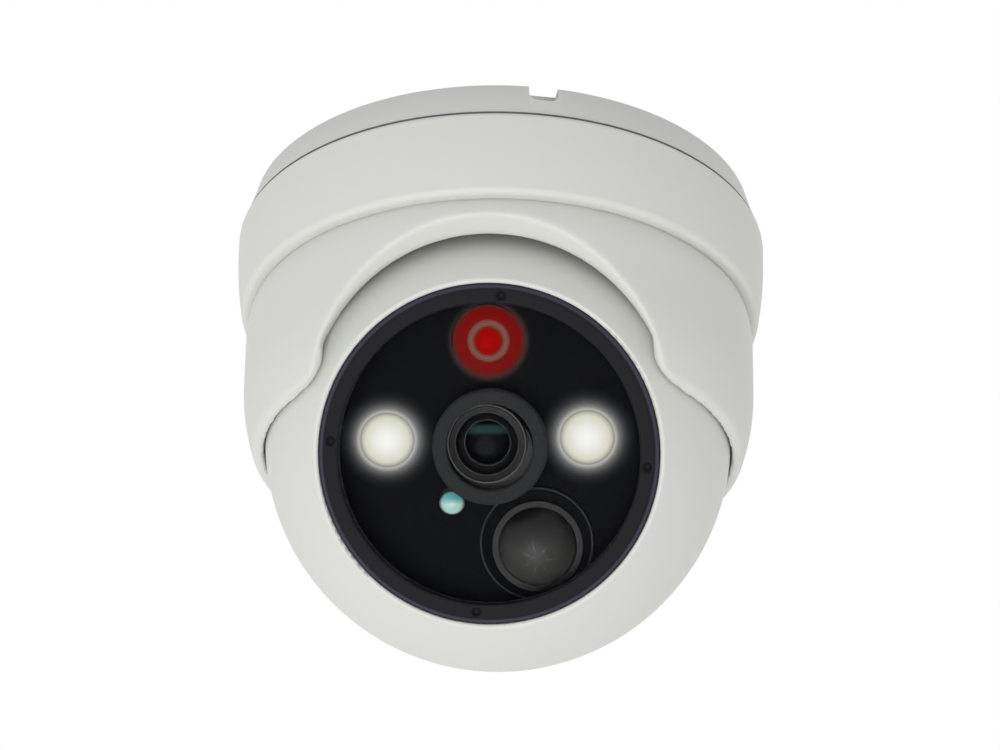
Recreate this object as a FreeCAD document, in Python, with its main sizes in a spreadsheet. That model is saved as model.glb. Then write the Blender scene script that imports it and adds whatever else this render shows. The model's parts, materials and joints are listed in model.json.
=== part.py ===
# Dome surveillance camera: a ceiling base, a cover, a turret ring that pans and a ball that tilts.
# Millimetres. The origin is the centre of the ceiling face, +Z points into the ceiling and the
# camera looks towards -Y, angled downwards.
import FreeCAD, Part
import Sketcher
import math
import os

SIZES = {
    # what every tool and sunk root runs over by
    "overrun": 1.0,
    "root_depth": 0.5,
    # ceiling base
    "base_taper": 1.4,
    "base_depth": 6.8,
    "base_floor": 3.0,
    "base_edge_break": 0.5,
    "base_rim_wall": 1.0,
    "upstand_wall": 2.0,
    "hook_gap": 0.4,
    "lug_bite": 1.0,
    "hook_cover": 0.2,
    "lug_height": 2.0,
    "lug_sweep": 20.0,
    "ceiling_hole_circle_radius": 33.0,
    "ceiling_hole_radius": 2.25,
    "ceiling_boss_radius": 5.0,
    "ceiling_boss_height": 2.0,
    "cable_hole_radius": 8.0,
    "notch_width": 5.3,
    "notch_depth": 3.5,
    "notch_corner_radius": 1.5,
    "notch_reach": 4.5,
    "notch_angle": 12.5,
    "grommet_bore_radius": 3.2,
    "grommet_flange_radius": 10.0,
    "grommet_flange": 1.0,
    "grommet_top_recess": 0.3,
    "seal_gap": 0.1,
    "seal_height": 1.8,
    # cover shell
    "seam_gap": 0.3,
    "cover_wall": 2.1,
    "cover_draw_in": 0.95,
    "cover_above_ball": 24.1,
    "cover_top_round": 1.3,
    "cover_straight_depth": 11.0,
    "cover_bulge_radius": 67.0,
    "cover_bottom_round": 1.25,
    "hook_reach": 2.0,
    "hook_height": 1.7,
    "hook_sweep": 18.0,
    "ledge_thickness": 2.0,
    "stop_rib_reach": 0.6,
    "stop_sweep": 5.0,
    # pan bearing
    "glide_ring_thickness": 0.25,
    "rub_gap": 0.05,
    "flange_bearing": 0.7,
    "flange_gap": 0.9,
    "neck_gap": 0.3,
    "flange_thickness": 2.0,
    "stop_nib_reach": 0.6,
    "friction_ring_thickness": 0.6,
    "friction_ring_width": 2.6,
    "lock_ring_thickness": 3.0,
    "lock_ring_width": 3.7,
    "lock_ring_thread_gap": 0.1,
    "lock_notch_width": 4.0,
    "lock_notch_depth": 1.5,
    # turret ring
    "neck_wall": 2.1,
    "turret_step": 1.8,
    "turret_reach": 4.3,
    "shoulder_draw_in": 0.9,
    "shoulder_gap": 0.3,
    "shoulder_curve_radius": 17.0,
    "shoulder_fall": 5.7,
    "straight_above_ball": 8.5,
    "turret_curve_radius": 36.2,
    "turret_wall": 2.7,
    "rim_below_ball": 4.6,
    "rim_rise": 1.6,
    "rim_draw_in": 1.37,
    "rim_round": 1.7,
    "rim_land": 1.0,
    "seat_rise": 5.4,
    "seat_gap": 0.3,
    "arch_down": 20.0,
    "arch_radius": 32.4,
    "arch_half_width": 29.4,
    "arch_relief_gap": 2.7,
    "arch_relief_shift": 7.5,
    "arch_relief_up": 28.0,
    "arch_bevel_down": 30.0,
    "arch_bevel_angle": 45.0,
    "arch_bevel_raise": 9.2,
    "arch_bevel_radius": 28.4,
    "arch_bevel_set_back": 20.1,
    "arch_foot_round": 4.9,
    "arch_collar_wall": 1.8,
    # tilt pivots
    "pivot_radius": 1.5,
    "pivot_running_gap": 0.05,
    "pivot_head_radius": 3.0,
    "pivot_head_thickness": 1.5,
    "pivot_bite": 2.2,
    "pivot_boss_radius": 4.9,
    "pivot_boss_height": 2.7,
    "pivot_washer_thickness": 0.35,
    "pivot_washer_radius": 2.9,
    # ball
    "ball_radius": 42.8,
    "ball_top_gap": 0.6,
    "ball_wall": 2.6,
    "look_down": 33.0,
    "mouth_radius": 30.4,
    "mouth_lip_width": 1.08,
    "mouth_lip_radius": 0.62,
    "bezel_seat_depth": 3.6,
    "ledge_depth": 2.9,
    "ledge_inset": 2.1,
    "shell_joint": 6.0,
    "rear_cut": 15.8,
    "rear_lip_height": 0.9,
    "rear_lip_wall": 1.4,
    "inner_fit_gap": 0.2,
    "bracket_boss_inset": 6.2,
    "bracket_boss_radius": 3.2,
    "shell_boss_inset": 4.2,
    "shell_boss_radius": 2.9,
    "shell_boss_top": 14.0,
    "shell_screw_radius": 1.25,
    "shell_screw_length": 11.0,
    "shell_screw_head_radius": 2.2,
    "shell_screw_head": 1.8,
    "shell_screw_seat": 11.0,
    "shell_screw_gap": 0.15,
    "shell_head_gap": 0.2,
    "shell_column_wall": 0.6,
    "shell_column_gap": 0.1,
    "shell_screw_grip": 4.0,
    "rear_cable_hole_radius": 5.0,
    "rear_seal_bore_radius": 3.0,
    "rear_seal_flange_radius": 7.0,
    "rear_seal_flange": 1.2,
    # window
    "bezel_gap": 0.1,
    "bezel_proud": 0.6,
    "bezel_width": 3.6,
    "bezel_lip": 1.0,
    "bezel_skirt_wall": 1.5,
    "bezel_chamfer": 0.8,
    "spanner_hole_radius": 0.75,
    "spanner_hole_depth": 0.7,
    "spanner_hole_inset": 2.2,
    "spanner_hole_angle": 84.5,
    "glass_thickness": 1.8,
    "glass_edge_gap": 0.15,
    "gasket_width": 1.8,
    "mask_thickness": 1.0,
    "mask_inset": 0.4,
    "light_board_below_mask": 3.0,
    "light_board_inset": 0.8,
    # light board and what stands on it
    "led_board_thickness": 1.6,
    "led_board_hole_radius": 9.2,
    "white_led_right": 17.3,
    "white_led_left": -18.5,
    "white_led_up": 2.2,
    "white_led_radius": 4.5,
    "white_led_flange_radius": 5.5,
    "white_led_height": 5.2,
    "white_led_chip_side": 3.5,
    "white_led_chip_thickness": 0.7,
    "white_led_hollow_radius": 2.6,
    "white_led_roof_gap": 0.4,
    "red_led_across": -0.3,
    "red_led_up": 20.0,
    "red_led_radius": 2.5,
    "red_led_height": 5.4,
    "red_ring_radius": 3.8,
    "red_ring_height": 4.6,
    "red_ring_below_top": 1.0,
    "red_window_radius": 6.25,
    "photocell_across": -7.2,
    "photocell_up": -8.8,
    "photocell_radius": 2.1,
    "photocell_height": 2.9,
    "pir_across": 8.3,
    "pir_up": -16.4,
    "pir_radius": 7.0,
    "pir_height": 6.7,
    "pir_rise": 4.3,
    "pir_wall": 0.7,
    "pir_flange_reach": 0.9,
    "pir_sensor_radius": 4.6,
    "pir_sensor_height": 3.2,
    "pir_recess_radius": 10.0,
    "pir_recess_depth": 0.5,
    "mask_hole_gap": 0.2,
    # lens
    "shield_radius": 10.3,
    "shield_bore_radius": 7.5,
    "lens_head_radius": 7.3,
    "lens_head_chamfer": 0.3,
    "lens_front_gap": 1.2,
    "lens_head_length": 8.6,
    "lens_length": 15.7,
    "lens_thread_radius": 6.0,
    "lens_step_radius": 5.95,
    "lens_step_depth": 1.6,
    "lens_bore_radius": 4.45,
    "front_glass_depth": 1.4,
    "front_glass_thickness": 2.2,
    "rear_glass_thickness": 2.0,
    "lens_stop_radius": 1.6,
    "lens_stop_thickness": 0.8,
    "lock_nut_radius": 8.2,
    "lock_nut_thickness": 2.0,
    "lens_thread_gap": 0.05,
    # lens holder and day and night filter slide
    "holder_half_length": 11.4,
    "holder_half_width": 7.5,
    "holder_box_height": 7.0,
    "holder_neck_height": 4.4,
    "holder_neck_radius": 8.0,
    "slide_bay_half_length": 10.45,
    "slide_bay_half_width": 5.2,
    "slide_bay_rise": 1.8,
    "slide_bay_height": 2.0,
    "light_path_radius": 3.8,
    "sensor_bay_half_length": 5.0,
    "sensor_bay_half_width": 4.2,
    "filter_pitch": 6.5,
    "filter_frame_margin": 3.65,
    "filter_frame_half_width": 4.8,
    "filter_frame_thickness": 1.2,
    "filter_frame_gap": 0.2,
    "filter_length": 5.7,
    "filter_width": 6.8,
    "filter_thickness": 0.5,
    "filter_seat_gap": 0.05,
    "filter_window_length": 4.9,
    "filter_window_width": 6.0,
    "magnet_length": 4.0,
    "magnet_width": 1.1,
    "magnet_thickness": 0.5,
    "coil_length": 10.0,
    "coil_width": 3.0,
    "coil_height": 5.0,
    "lens_to_main_board": 7.3,
    "main_board_to_bracket": 7.6,
    # boards and bracket
    "bracket_thickness": 1.2,
    "bracket_inset": 2.5,
    "bracket_ear_root": 4.0,
    "bracket_ear_width": 8.0,
    "bracket_window_half_length": 13.0,
    "bracket_window_half_width": 12.0,
    "small_screw_radius": 1.0,
    "small_head_radius": 1.9,
    "small_head": 1.3,
    "screw_hole_gap": 0.1,
    "small_screw_length": 5.0,
    "post_radius": 2.3,
    "led_post_circle": 22.5,
    "main_board_half_side": 19.0,
    "main_board_thickness": 1.6,
    "main_post_offset": 16.5,
    "image_sensor_length": 8.0,
    "image_sensor_width": 6.5,
    "image_sensor_thickness": 1.2,
    "processor_side": 12.0,
    "processor_thickness": 1.2,
    "connector_length": 10.0,
    "connector_width": 4.0,
    "connector_height": 4.5,
    "connector_offset": 12.5,
}

# Sizes that follow from others, so that what fits together keeps together.
TIED = {
    "turret_radius": "ball_radius + turret_reach",
    "neck_radius": "turret_radius - turret_step",
    "shoulder_radius": "turret_radius - shoulder_draw_in",
    "ledge_bore_radius": "neck_radius + neck_gap",
    "flange_radius": "ledge_bore_radius + flange_bearing",
    "cover_inner_radius": "flange_radius + flange_gap",
    "cover_radius": "cover_inner_radius + cover_wall",
    "cover_lower_radius": "cover_radius - cover_draw_in",
    "base_seam_radius": "cover_radius - cover_top_round",
    "base_top_radius": "base_seam_radius - base_taper",
    "base_rim_inner_radius": "base_seam_radius - base_rim_wall",
    "upstand_radius": "cover_inner_radius - hook_reach - hook_gap",
    "upstand_depth": "base_depth + seam_gap + hook_cover + hook_height + lug_height",
    "lug_reach": "hook_gap + lug_bite",
    "ball_drop": "base_floor + grommet_flange + ball_top_gap + ball_radius",
    "cover_bottom": "ball_drop - cover_above_ball",
    "turret_full_top": "cover_bottom + shoulder_fall",
    "turret_full_bottom": "ball_drop - straight_above_ball",
    "turret_rim_bottom": "ball_drop + rim_below_ball",
    "turret_curve_end": "turret_rim_bottom - rim_rise",
    "seat_top": "ball_drop - seat_rise",
    "arch_relief_radius": "ball_radius + arch_relief_gap - arch_relief_shift",
    "arch_bevel_start": "turret_radius - arch_bevel_set_back",
    "mouth_edge": "sqrt(ball_radius ^ 2 - (mouth_radius + mouth_lip_width) ^ 2)",
    "ledge_front": "mouth_edge - bezel_seat_depth",
    "ledge_back": "ledge_front - ledge_depth",
    "ledge_radius": "mouth_radius - ledge_inset",
    "pivot_boss_face": "ball_radius - ball_wall - pivot_boss_height",
    "bracket_boss_circle": "ball_radius - ball_wall - bracket_boss_inset",
    "shell_boss_circle": "ball_radius - ball_wall - shell_boss_inset",
    "rear_flat": "ball_radius - rear_cut",
    "bezel_front": "mouth_edge + bezel_proud",
    "bezel_bore_radius": "mouth_radius - bezel_width",
    "spanner_hole_circle": "mouth_radius - spanner_hole_inset",
    "mask_radius": "mouth_radius - mask_inset",
    "led_board_front": "ledge_back - light_board_below_mask",
    "led_board_radius": "ledge_radius - light_board_inset",
    "lens_front": "bezel_front - bezel_lip - glass_thickness - lens_front_gap",
    "lens_head_back": "lens_front - lens_head_length",
    "lens_back": "lens_front - lens_length",
    "main_board_front": "lens_back - lens_to_main_board",
    "holder_box_top": "main_board_front + holder_box_height",
    "holder_neck_top": "holder_box_top + holder_neck_height",
    "slide_bay_floor": "main_board_front + slide_bay_rise",
    "bracket_front": "main_board_front + main_board_to_bracket",
    "bracket_radius": "bracket_boss_circle - bracket_inset",
}


class Size:
    """A number together with the sheet expression that gives it."""

    def __init__(self, text, value):
        self.text = text
        self.value = value

    def __add__(self, other):
        return joined(self, "+", other)

    def __radd__(self, other):
        return joined(other, "+", self)

    def __sub__(self, other):
        return joined(self, "-", other)

    def __rsub__(self, other):
        return joined(other, "-", self)

    def __mul__(self, other):
        return joined(self, "*", other)

    def __rmul__(self, other):
        return joined(other, "*", self)

    def __truediv__(self, other):
        return joined(self, "/", other)

    def __neg__(self):
        return Size("(0 - %s)" % self.text, -self.value)


def size(number):
    return number if isinstance(number, Size) else Size("%.6g" % number, float(number))


def joined(first, sign, second):
    a, b = size(first), size(second)
    value = {"+": a.value + b.value, "-": a.value - b.value, "*": a.value * b.value}.get(sign)
    if sign == "/":
        value = a.value / b.value
    return Size("(%s %s %s)" % (a.text, sign, b.text), value)


def root(number):
    return Size("sqrt(%s)" % number.text, math.sqrt(number.value))


def cosine(degrees):
    turn = size(degrees)
    return Size("cos(%s)" % turn.text, math.cos(math.radians(turn.value)))


def sine(degrees):
    turn = size(degrees)
    return Size("sin(%s)" % turn.text, math.sin(math.radians(turn.value)))


def tangent(degrees):
    turn = size(degrees)
    return Size("tan(%s)" % turn.text, math.tan(math.radians(turn.value)))


def circle_radius_at(sphere_radius, height):
    """Radius of the circle where a plane at this height cuts a sphere about the origin."""
    return root(sphere_radius * sphere_radius - height * height)


doc = FreeCAD.newDocument("dome_camera")
sheet = doc.addObject("Spreadsheet::Sheet", "Sizes")
cells = {name: str(number) for name, number in SIZES.items()}
cells.update({name: "=" + formula for name, formula in TIED.items()})
for row, name in enumerate(cells, 1):
    sheet.set("A%d" % row, name)
    sheet.setAlias("B%d" % row, name)
for row, content in enumerate(cells.values(), 1):
    sheet.set("B%d" % row, content)
doc.recompute()


class Sheet:
    """Gives each cell of the sheet as a Size, by its alias."""

    def __getattr__(self, name):
        return Size("Sizes." + name, float(sheet.get(name)))


S = Sheet()


# Placement and primitives

NO_TURN = ((0, 0, 1), 0)


def put(piece, at=(0, 0, 0), turn=NO_TURN):
    """Bind a piece's place, and its turn about an axis, to the sheet."""
    place = "; ".join(size(c).text for c in at)
    axis = "; ".join(str(c) for c in turn[0])
    text = "placement(vector(%s); rotation(vector(%s); %s))" % (place, axis, size(turn[1]).text)
    piece.setExpression("Placement", text)
    return piece


def rod(radius, length, at=(0, 0, 0), turn=NO_TURN, sweep=360):
    piece = doc.addObject("Part::Cylinder", "rod")
    piece.setExpression("Radius", size(radius).text)
    piece.setExpression("Height", size(length).text)
    piece.setExpression("Angle", size(sweep).text)
    return put(piece, at, turn)


def block(lengths, at, turn=NO_TURN):
    piece = doc.addObject("Part::Box", "block")
    for side, length in zip(("Length", "Width", "Height"), lengths):
        piece.setExpression(side, size(length).text)
    return put(piece, at, turn)


def slab(half_length, half_width, low, high, across=0, up=0):
    """A block centred on (across, up) between two heights."""
    corner = (size(across) - half_length, size(up) - half_width, low)
    return block((2 * size(half_length), 2 * size(half_width), high - low), corner)


def sphere(radius, at=(0, 0, 0)):
    piece = doc.addObject("Part::Sphere", "sphere")
    piece.setExpression("Radius", size(radius).text)
    return put(piece, at)


def fuse(pieces):
    if len(pieces) == 1:
        return pieces[0]
    piece = doc.addObject("Part::MultiFuse", "fused")
    piece.Shapes = pieces
    piece.Refine = True
    return piece


def cut(base, tools):
    piece = doc.addObject("Part::Cut", "cut")
    piece.Base = base
    piece.Tool = fuse(tools)
    return piece


def overlap(first, second):
    piece = doc.addObject("Part::Common", "common")
    piece.Base = first
    piece.Tool = second
    return piece


def group(pieces):
    piece = doc.addObject("Part::Compound", "group")
    piece.Links = pieces
    return piece


def around(count, radius, first):
    """Places on a circle, each as x, y and its angle."""
    for step in range(count):
        angle = size(first) + 360 / count * step
        yield radius * cosine(angle), radius * sine(angle), angle


def ring_sector(inner, outer, low, high, middle, sweep):
    """Part of a ring about Z, centred on an angle."""
    start = ((0, 0, 1), size(middle) - sweep / 2)
    sector = rod(outer, high - low, (0, 0, low), start, sweep)
    return cut(sector, [rod(inner, high - low + 2 * S.overrun, (0, 0, low - S.overrun))])


# Sketched bodies


def add_outline(sketch, corners):
    """Draw a closed outline. A corner is (x, y), or (x, y, radius, side) where an arc of that
    radius leads to it, with its centre on the left (side 1) or the right (side -1)."""
    points = [FreeCAD.Vector(size(c[0]).value, size(c[1]).value, 0) for c in corners]
    starts = []
    for step, corner in enumerate(corners):
        begin, end = points[step - 1], points[step]
        if len(corner) == 2:
            index = sketch.addGeometry(Part.LineSegment(begin, end), False)
            starts.append(1)
            continue
        radius, side = corner[2], corner[3]
        index = sketch.addGeometry(arc_edge(begin, end, size(radius).value, side), False)
        starts.append(1 if side > 0 else 2)
        bind_datum(sketch, ("Radius", index), radius)
    for step, corner in enumerate(corners):
        after = (step + 1) % len(corners)
        end = 3 - starts[step]
        sketch.addConstraint(Sketcher.Constraint("Coincident", step, end, after, starts[after]))
        bind_point(sketch, step, end, corner)


def arc_edge(begin, end, radius, side):
    """An arc that always runs anticlockwise, as sketches hold them."""
    chord = end - begin
    left = FreeCAD.Vector(-chord.y, chord.x, 0).normalize() * side
    centre = (begin + end) / 2 + left * math.sqrt(max(radius ** 2 - chord.Length ** 2 / 4, 0))
    middle = centre - left * radius
    return Part.Arc(begin, middle, end) if side > 0 else Part.Arc(end, middle, begin)


def bind_datum(sketch, target, length):
    index = sketch.addConstraint(Sketcher.Constraint(*target, size(length).value))
    sketch.setExpression("Constraints[%d]" % index, size(length).text)


def bind_point(sketch, edge, end, corner):
    """Fix a corner by its distances, or on an axis where the distance is nothing."""
    for kind, axis, length in (("DistanceX", -2, corner[0]), ("DistanceY", -1, corner[1])):
        if isinstance(length, Size) or length != 0:
            bind_datum(sketch, (kind, edge, end), length)
        else:
            sketch.addConstraint(Sketcher.Constraint("PointOnObject", edge, end, axis))


def sketched_body(plane, corners):
    body = doc.addObject("PartDesign::Body", "body")
    sketch = body.newObject("Sketcher::SketchObject", "outline")
    support = [f for f in body.Origin.OriginFeatures if f.Role == plane][0]
    sketch.AttachmentSupport = (support, [""])
    sketch.MapMode = "FlatFace"
    add_outline(sketch, corners)
    return body, sketch


def lathe(corners, at=(0, 0, 0), turn=NO_TURN):
    """A solid turned about Z from an outline of radius and height."""
    body, sketch = sketched_body("XZ_Plane", corners)
    turned = body.newObject("PartDesign::Revolution", "turned")
    turned.Profile = sketch
    turned.ReferenceAxis = (sketch, ["V_Axis"])
    turned.Angle = 360
    return put(body, at, turn)


def tube(inner, outer, low, high, at=(0, 0, 0), turn=NO_TURN):
    return lathe([(inner, low), (outer, low), (outer, high), (inner, high)], at, turn)


def screw(shank_radius, length, head_radius, head, at=(0, 0, 0), turn=NO_TURN):
    """A screw whose head seats on z = 0 and stands up along its own Z."""
    return lathe([(0, -length), (shank_radius, -length), (shank_radius, 0), (head_radius, 0),
                  (head_radius, head * 0.6), (head_radius - head * 0.4, head), (0, head)], at, turn)


nodes = {}
LOOK = ((1, 0, 0), 90 + S.look_down)
BALL_CENTRE = (0, 0, -S.ball_drop)


def node(name, pieces):
    """Name a sub-part that is drawn in the frame of the whole camera."""
    piece = pieces[0] if len(pieces) == 1 else group(pieces)
    piece.Label = name
    nodes[name] = piece


def face_node(name, pieces):
    """Name a sub-part drawn in the ball's frame: Z out of the window, X right, Y up."""
    piece = group(pieces)
    put(piece, BALL_CENTRE, LOOK)
    piece.Label = name
    nodes[name] = piece


# Ceiling base

CEILING_ANGLE = 90
HOOK_ANGLE = 30
REAR_ANGLE = 90
FRONT_ANGLE = -90


def notch_tools():
    """The U-shaped cable notch in the rim, open towards the ceiling."""
    half = S.notch_width / 2
    start = S.base_seam_radius - S.notch_reach
    turn = ((0, 0, 1), FRONT_ANGLE + S.notch_angle)
    run = S.notch_reach + 2 * S.overrun
    inner = half - S.notch_corner_radius

    def at(along, side, height):
        c, s = cosine(turn[1]), sine(turn[1])
        return (along * c - side * s, along * s + side * c, height)

    flat = S.notch_depth - S.notch_corner_radius
    tools = [block((run, 2 * half, flat + S.overrun), at(start, -half, -flat), turn),
             block((run, 2 * inner, S.notch_depth), at(start, -inner, -S.notch_depth), turn)]
    for side in (-1, 1):
        corner = rod(S.notch_corner_radius, run, (0, 0, 0), ((0, 1, 0), 90))
        lying = group([corner])
        tools.append(put(lying, at(start, side * inner, -flat), turn))
    return tools


def base_plate():
    under = S.base_floor
    inner = S.upstand_radius - S.upstand_wall
    plate = lathe([(S.cable_hole_radius, 0), (S.base_top_radius - S.base_edge_break, 0),
                   (S.base_top_radius, -S.base_edge_break),
                   (S.base_seam_radius, -S.base_depth + S.base_edge_break),
                   (S.base_seam_radius - S.base_edge_break / 2, -S.base_depth),
                   (S.base_rim_inner_radius, -S.base_depth), (S.base_rim_inner_radius, -under),
                   (S.upstand_radius, -under), (S.upstand_radius, -S.upstand_depth),
                   (inner, -S.upstand_depth), (inner, -under), (S.cable_hole_radius, -under)])
    lug_low = -S.upstand_depth
    solids = [plate]
    for _, _, angle in around(3, S.upstand_radius, HOOK_ANGLE):
        solids.append(ring_sector(S.upstand_radius - S.root_depth, S.upstand_radius + S.lug_reach,
                                  lug_low, lug_low + S.lug_height, angle, S.lug_sweep))
    holes = notch_tools()
    for x, y, _ in around(3, S.ceiling_hole_circle_radius, CEILING_ANGLE):
        solids.append(rod(S.ceiling_boss_radius, S.ceiling_boss_height + S.root_depth,
                          (x, y, -under - S.ceiling_boss_height)))
        holes.append(rod(S.ceiling_hole_radius, S.base_floor + S.ceiling_boss_height + 2 * S.overrun,
                         (x, y, -under - S.ceiling_boss_height - S.overrun)))
    return [cut(fuse(solids), holes)]


def cable_grommet():
    low = -S.base_floor - S.grommet_flange
    return [lathe([(S.grommet_bore_radius, low), (S.grommet_flange_radius, low),
                   (S.grommet_flange_radius, -S.base_floor), (S.cable_hole_radius, -S.base_floor),
                   (S.cable_hole_radius, -S.grommet_top_recess),
                   (S.grommet_bore_radius, -S.grommet_top_recess)])]


def seal_ring():
    """The flat seal in the groove between the upstand and the rim, above the cover's edge."""
    return [tube(S.upstand_radius + S.seal_gap, S.base_rim_inner_radius - S.seal_gap,
                 -S.base_floor - S.seal_height, -S.base_floor)]


def cover_shell():
    top = -S.base_depth - S.seam_gap
    bottom = -S.cover_bottom
    shell = lathe([(S.cover_inner_radius, top), (S.base_seam_radius, top),
                   (S.cover_radius, top - S.cover_top_round, S.cover_top_round, -1),
                   (S.cover_radius, -S.cover_straight_depth),
                   (S.cover_lower_radius, bottom + S.cover_bottom_round, S.cover_bulge_radius, -1),
                   (S.cover_lower_radius - S.cover_bottom_round, bottom, S.cover_bottom_round, -1),
                   (S.ledge_bore_radius, bottom), (S.ledge_bore_radius, bottom + S.ledge_thickness),
                   (S.cover_inner_radius, bottom + S.ledge_thickness)])
    hook_low = -S.upstand_depth + S.lug_height
    solids = [shell]
    for _, _, angle in around(3, S.cover_inner_radius, HOOK_ANGLE):
        solids.append(ring_sector(S.cover_inner_radius - S.hook_reach, S.cover_inner_radius + S.root_depth,
                                  hook_low, hook_low + S.hook_height, angle, S.hook_sweep))
    ledge = bottom + S.ledge_thickness
    solids.append(ring_sector(S.cover_inner_radius - S.stop_rib_reach, S.cover_inner_radius + S.root_depth,
                              ledge, flange_top(), REAR_ANGLE, S.stop_sweep))
    return [fuse(solids)]


# Pan bearing


def flange_bottom():
    return -S.cover_bottom + S.ledge_thickness + S.glide_ring_thickness + S.rub_gap


def flange_top():
    return flange_bottom() + S.flange_thickness


def glide_ring():
    low = -S.cover_bottom + S.ledge_thickness
    return [tube(S.ledge_bore_radius, S.flange_radius, low, low + S.glide_ring_thickness)]


def pan_friction_ring():
    low = flange_top() + S.rub_gap
    return [tube(S.flange_radius - S.friction_ring_width, S.flange_radius,
                 low, low + S.friction_ring_thickness)]


def pan_lock_ring():
    low = flange_top() + S.rub_gap + S.friction_ring_thickness
    outer = S.cover_inner_radius - S.lock_ring_thread_gap
    ring = tube(outer - S.lock_ring_width, outer, low, low + S.lock_ring_thickness)
    notches = []
    for _, _, angle in around(4, outer, 45):
        turn = ((0, 0, 1), angle)
        reach = outer - S.lock_ring_width - S.overrun
        notches.append(block((S.lock_notch_depth + S.overrun, S.lock_notch_width,
                              S.lock_ring_thickness + 2 * S.overrun),
                             (reach * cosine(angle) + S.lock_notch_width / 2 * sine(angle),
                              reach * sine(angle) - S.lock_notch_width / 2 * cosine(angle),
                              low - S.overrun), turn))
    return [cut(ring, notches)]


# Turret ring

ARCH = ((1, 0, 0), 90 + S.arch_down)


def along_arch(distance):
    """A place on the arch's axis, which runs out of the ball's centre."""
    return (0, -distance * cosine(S.arch_down), -S.ball_drop - distance * sine(S.arch_down))


def turret_outside():
    """The outer line of the turret, from under the cover down to its rim."""
    return [(S.shoulder_radius, -S.cover_bottom - S.shoulder_gap),
            (S.turret_radius, -S.turret_full_top, S.shoulder_curve_radius, -1),
            (S.turret_radius, -S.turret_full_bottom),
            (rim_land_outer() + S.rim_draw_in, -S.turret_curve_end, S.turret_curve_radius, -1),
            (rim_land_outer(), -S.turret_rim_bottom, S.rim_round, -1)]


def seat_radius():
    return S.ball_radius + S.seat_gap


def rim_inner():
    return circle_radius_at(seat_radius(), S.turret_rim_bottom - S.ball_drop)


def rim_land_outer():
    return rim_inner() + S.rim_land


def arch_opening():
    """A round bore along the arch's axis, with flat sides where it nears the feet."""
    start = S.arch_radius / 2
    bore = rod(S.arch_radius, S.turret_radius, along_arch(start), ARCH)
    sides = block((2 * S.arch_half_width, S.turret_radius + S.overrun, S.turret_rim_bottom),
                  (-S.arch_half_width, -S.turret_radius - S.overrun,
                   -S.turret_rim_bottom - S.overrun))
    return overlap(bore, sides)


def arch_foot(side):
    """The tool that rounds one foot of the arch into the lower rim."""
    inner = side * (S.arch_half_width - S.overrun)
    face = side * S.arch_half_width
    outer = side * (S.arch_half_width + S.arch_foot_round)
    low = -S.turret_rim_bottom
    high = low + S.arch_foot_round
    body, sketch = sketched_body("XZ_Plane", [
        (inner, low - S.overrun), (outer, low - S.overrun), (outer, low),
        (face, high, S.arch_foot_round, -side), (inner, high)])
    pad = body.newObject("PartDesign::Pad", "pad")
    pad.Profile = sketch
    pad.setExpression("Length", S.turret_radius.text)
    return body


def arch_bevel():
    """The slope round the arch, deepest at its crown and running out at its feet."""
    tool = doc.addObject("Part::Cone", "bevel")
    length = S.turret_radius - S.arch_bevel_start
    turn = ((1, 0, 0), 90 + S.arch_bevel_down)
    tool.setExpression("Radius1", S.arch_bevel_radius.text)
    tool.setExpression("Radius2", (S.arch_bevel_radius + length * tangent(S.arch_bevel_angle)).text)
    tool.setExpression("Height", length.text)
    along, up = S.arch_bevel_start, S.arch_bevel_raise
    down = S.arch_bevel_down
    place = (0, -along * cosine(down) - up * sine(down),
             -S.ball_drop - along * sine(down) + up * cosine(down))
    return put(tool, place, turn)


def arch_relief():
    """The hollow under the crown that leaves a dark gap over the ball and closes at the feet."""
    up = S.arch_relief_up
    shift = S.arch_relief_shift
    return sphere(S.arch_relief_radius,
                  (0, -shift * cosine(up), -S.ball_drop + shift * sine(up)))


def turret_ring():
    neck_inner = S.neck_radius - S.neck_wall
    inner = S.turret_radius - S.turret_wall
    neck_end = -S.cover_bottom - S.shoulder_gap - S.neck_wall
    seat_edge = circle_radius_at(seat_radius(), S.ball_drop - S.seat_top)
    ring = lathe([(neck_inner, flange_top()), (S.flange_radius, flange_top()),
                  (S.flange_radius, flange_bottom()), (S.neck_radius, flange_bottom()),
                  (S.neck_radius, -S.cover_bottom - S.shoulder_gap)] + turret_outside()
                 + [(rim_inner(), -S.turret_rim_bottom),
                    (seat_edge, -S.seat_top, seat_radius(), 1),
                    (inner, -S.seat_top + (inner - seat_edge)),
                    (inner, neck_end - (inner - neck_inner)), (neck_inner, neck_end)])
    envelope = lathe([(0, -S.cover_bottom - S.shoulder_gap)] + turret_outside()
                     + [(0, -S.turret_rim_bottom)])
    collar = cut(overlap(envelope, rod(S.arch_radius + S.arch_collar_wall, S.turret_radius,
                                       along_arch(S.arch_radius / 2), ARCH)),
                 [sphere(seat_radius(), BALL_CENTRE)])
    nib = ring_sector(S.flange_radius - S.root_depth, S.flange_radius + S.stop_nib_reach,
                      flange_bottom(), flange_top(), FRONT_ANGLE, S.stop_sweep)
    bores = []
    for side in (-1, 1):
        bores.append(rod(S.pivot_radius, S.pivot_bite + S.seat_gap + S.overrun,
                         (side * (S.ball_radius - S.overrun), 0, -S.ball_drop),
                         ((0, 1, 0), side * 90)))
    arch = [arch_opening(), arch_bevel(), arch_relief(), arch_foot(-1), arch_foot(1)]
    return [cut(fuse([ring, collar, nib]), arch + bores)]


def pivot_screws():
    head_face = S.pivot_boss_face - S.pivot_washer_thickness - S.pivot_running_gap
    length = S.ball_radius + S.seat_gap + S.pivot_bite - head_face
    pieces = []
    for side in (-1, 1):
        pieces.append(screw(S.pivot_radius, length, S.pivot_head_radius, S.pivot_head_thickness,
                            (side * head_face, 0, -S.ball_drop), ((0, 1, 0), side * -90)))
    return pieces


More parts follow.
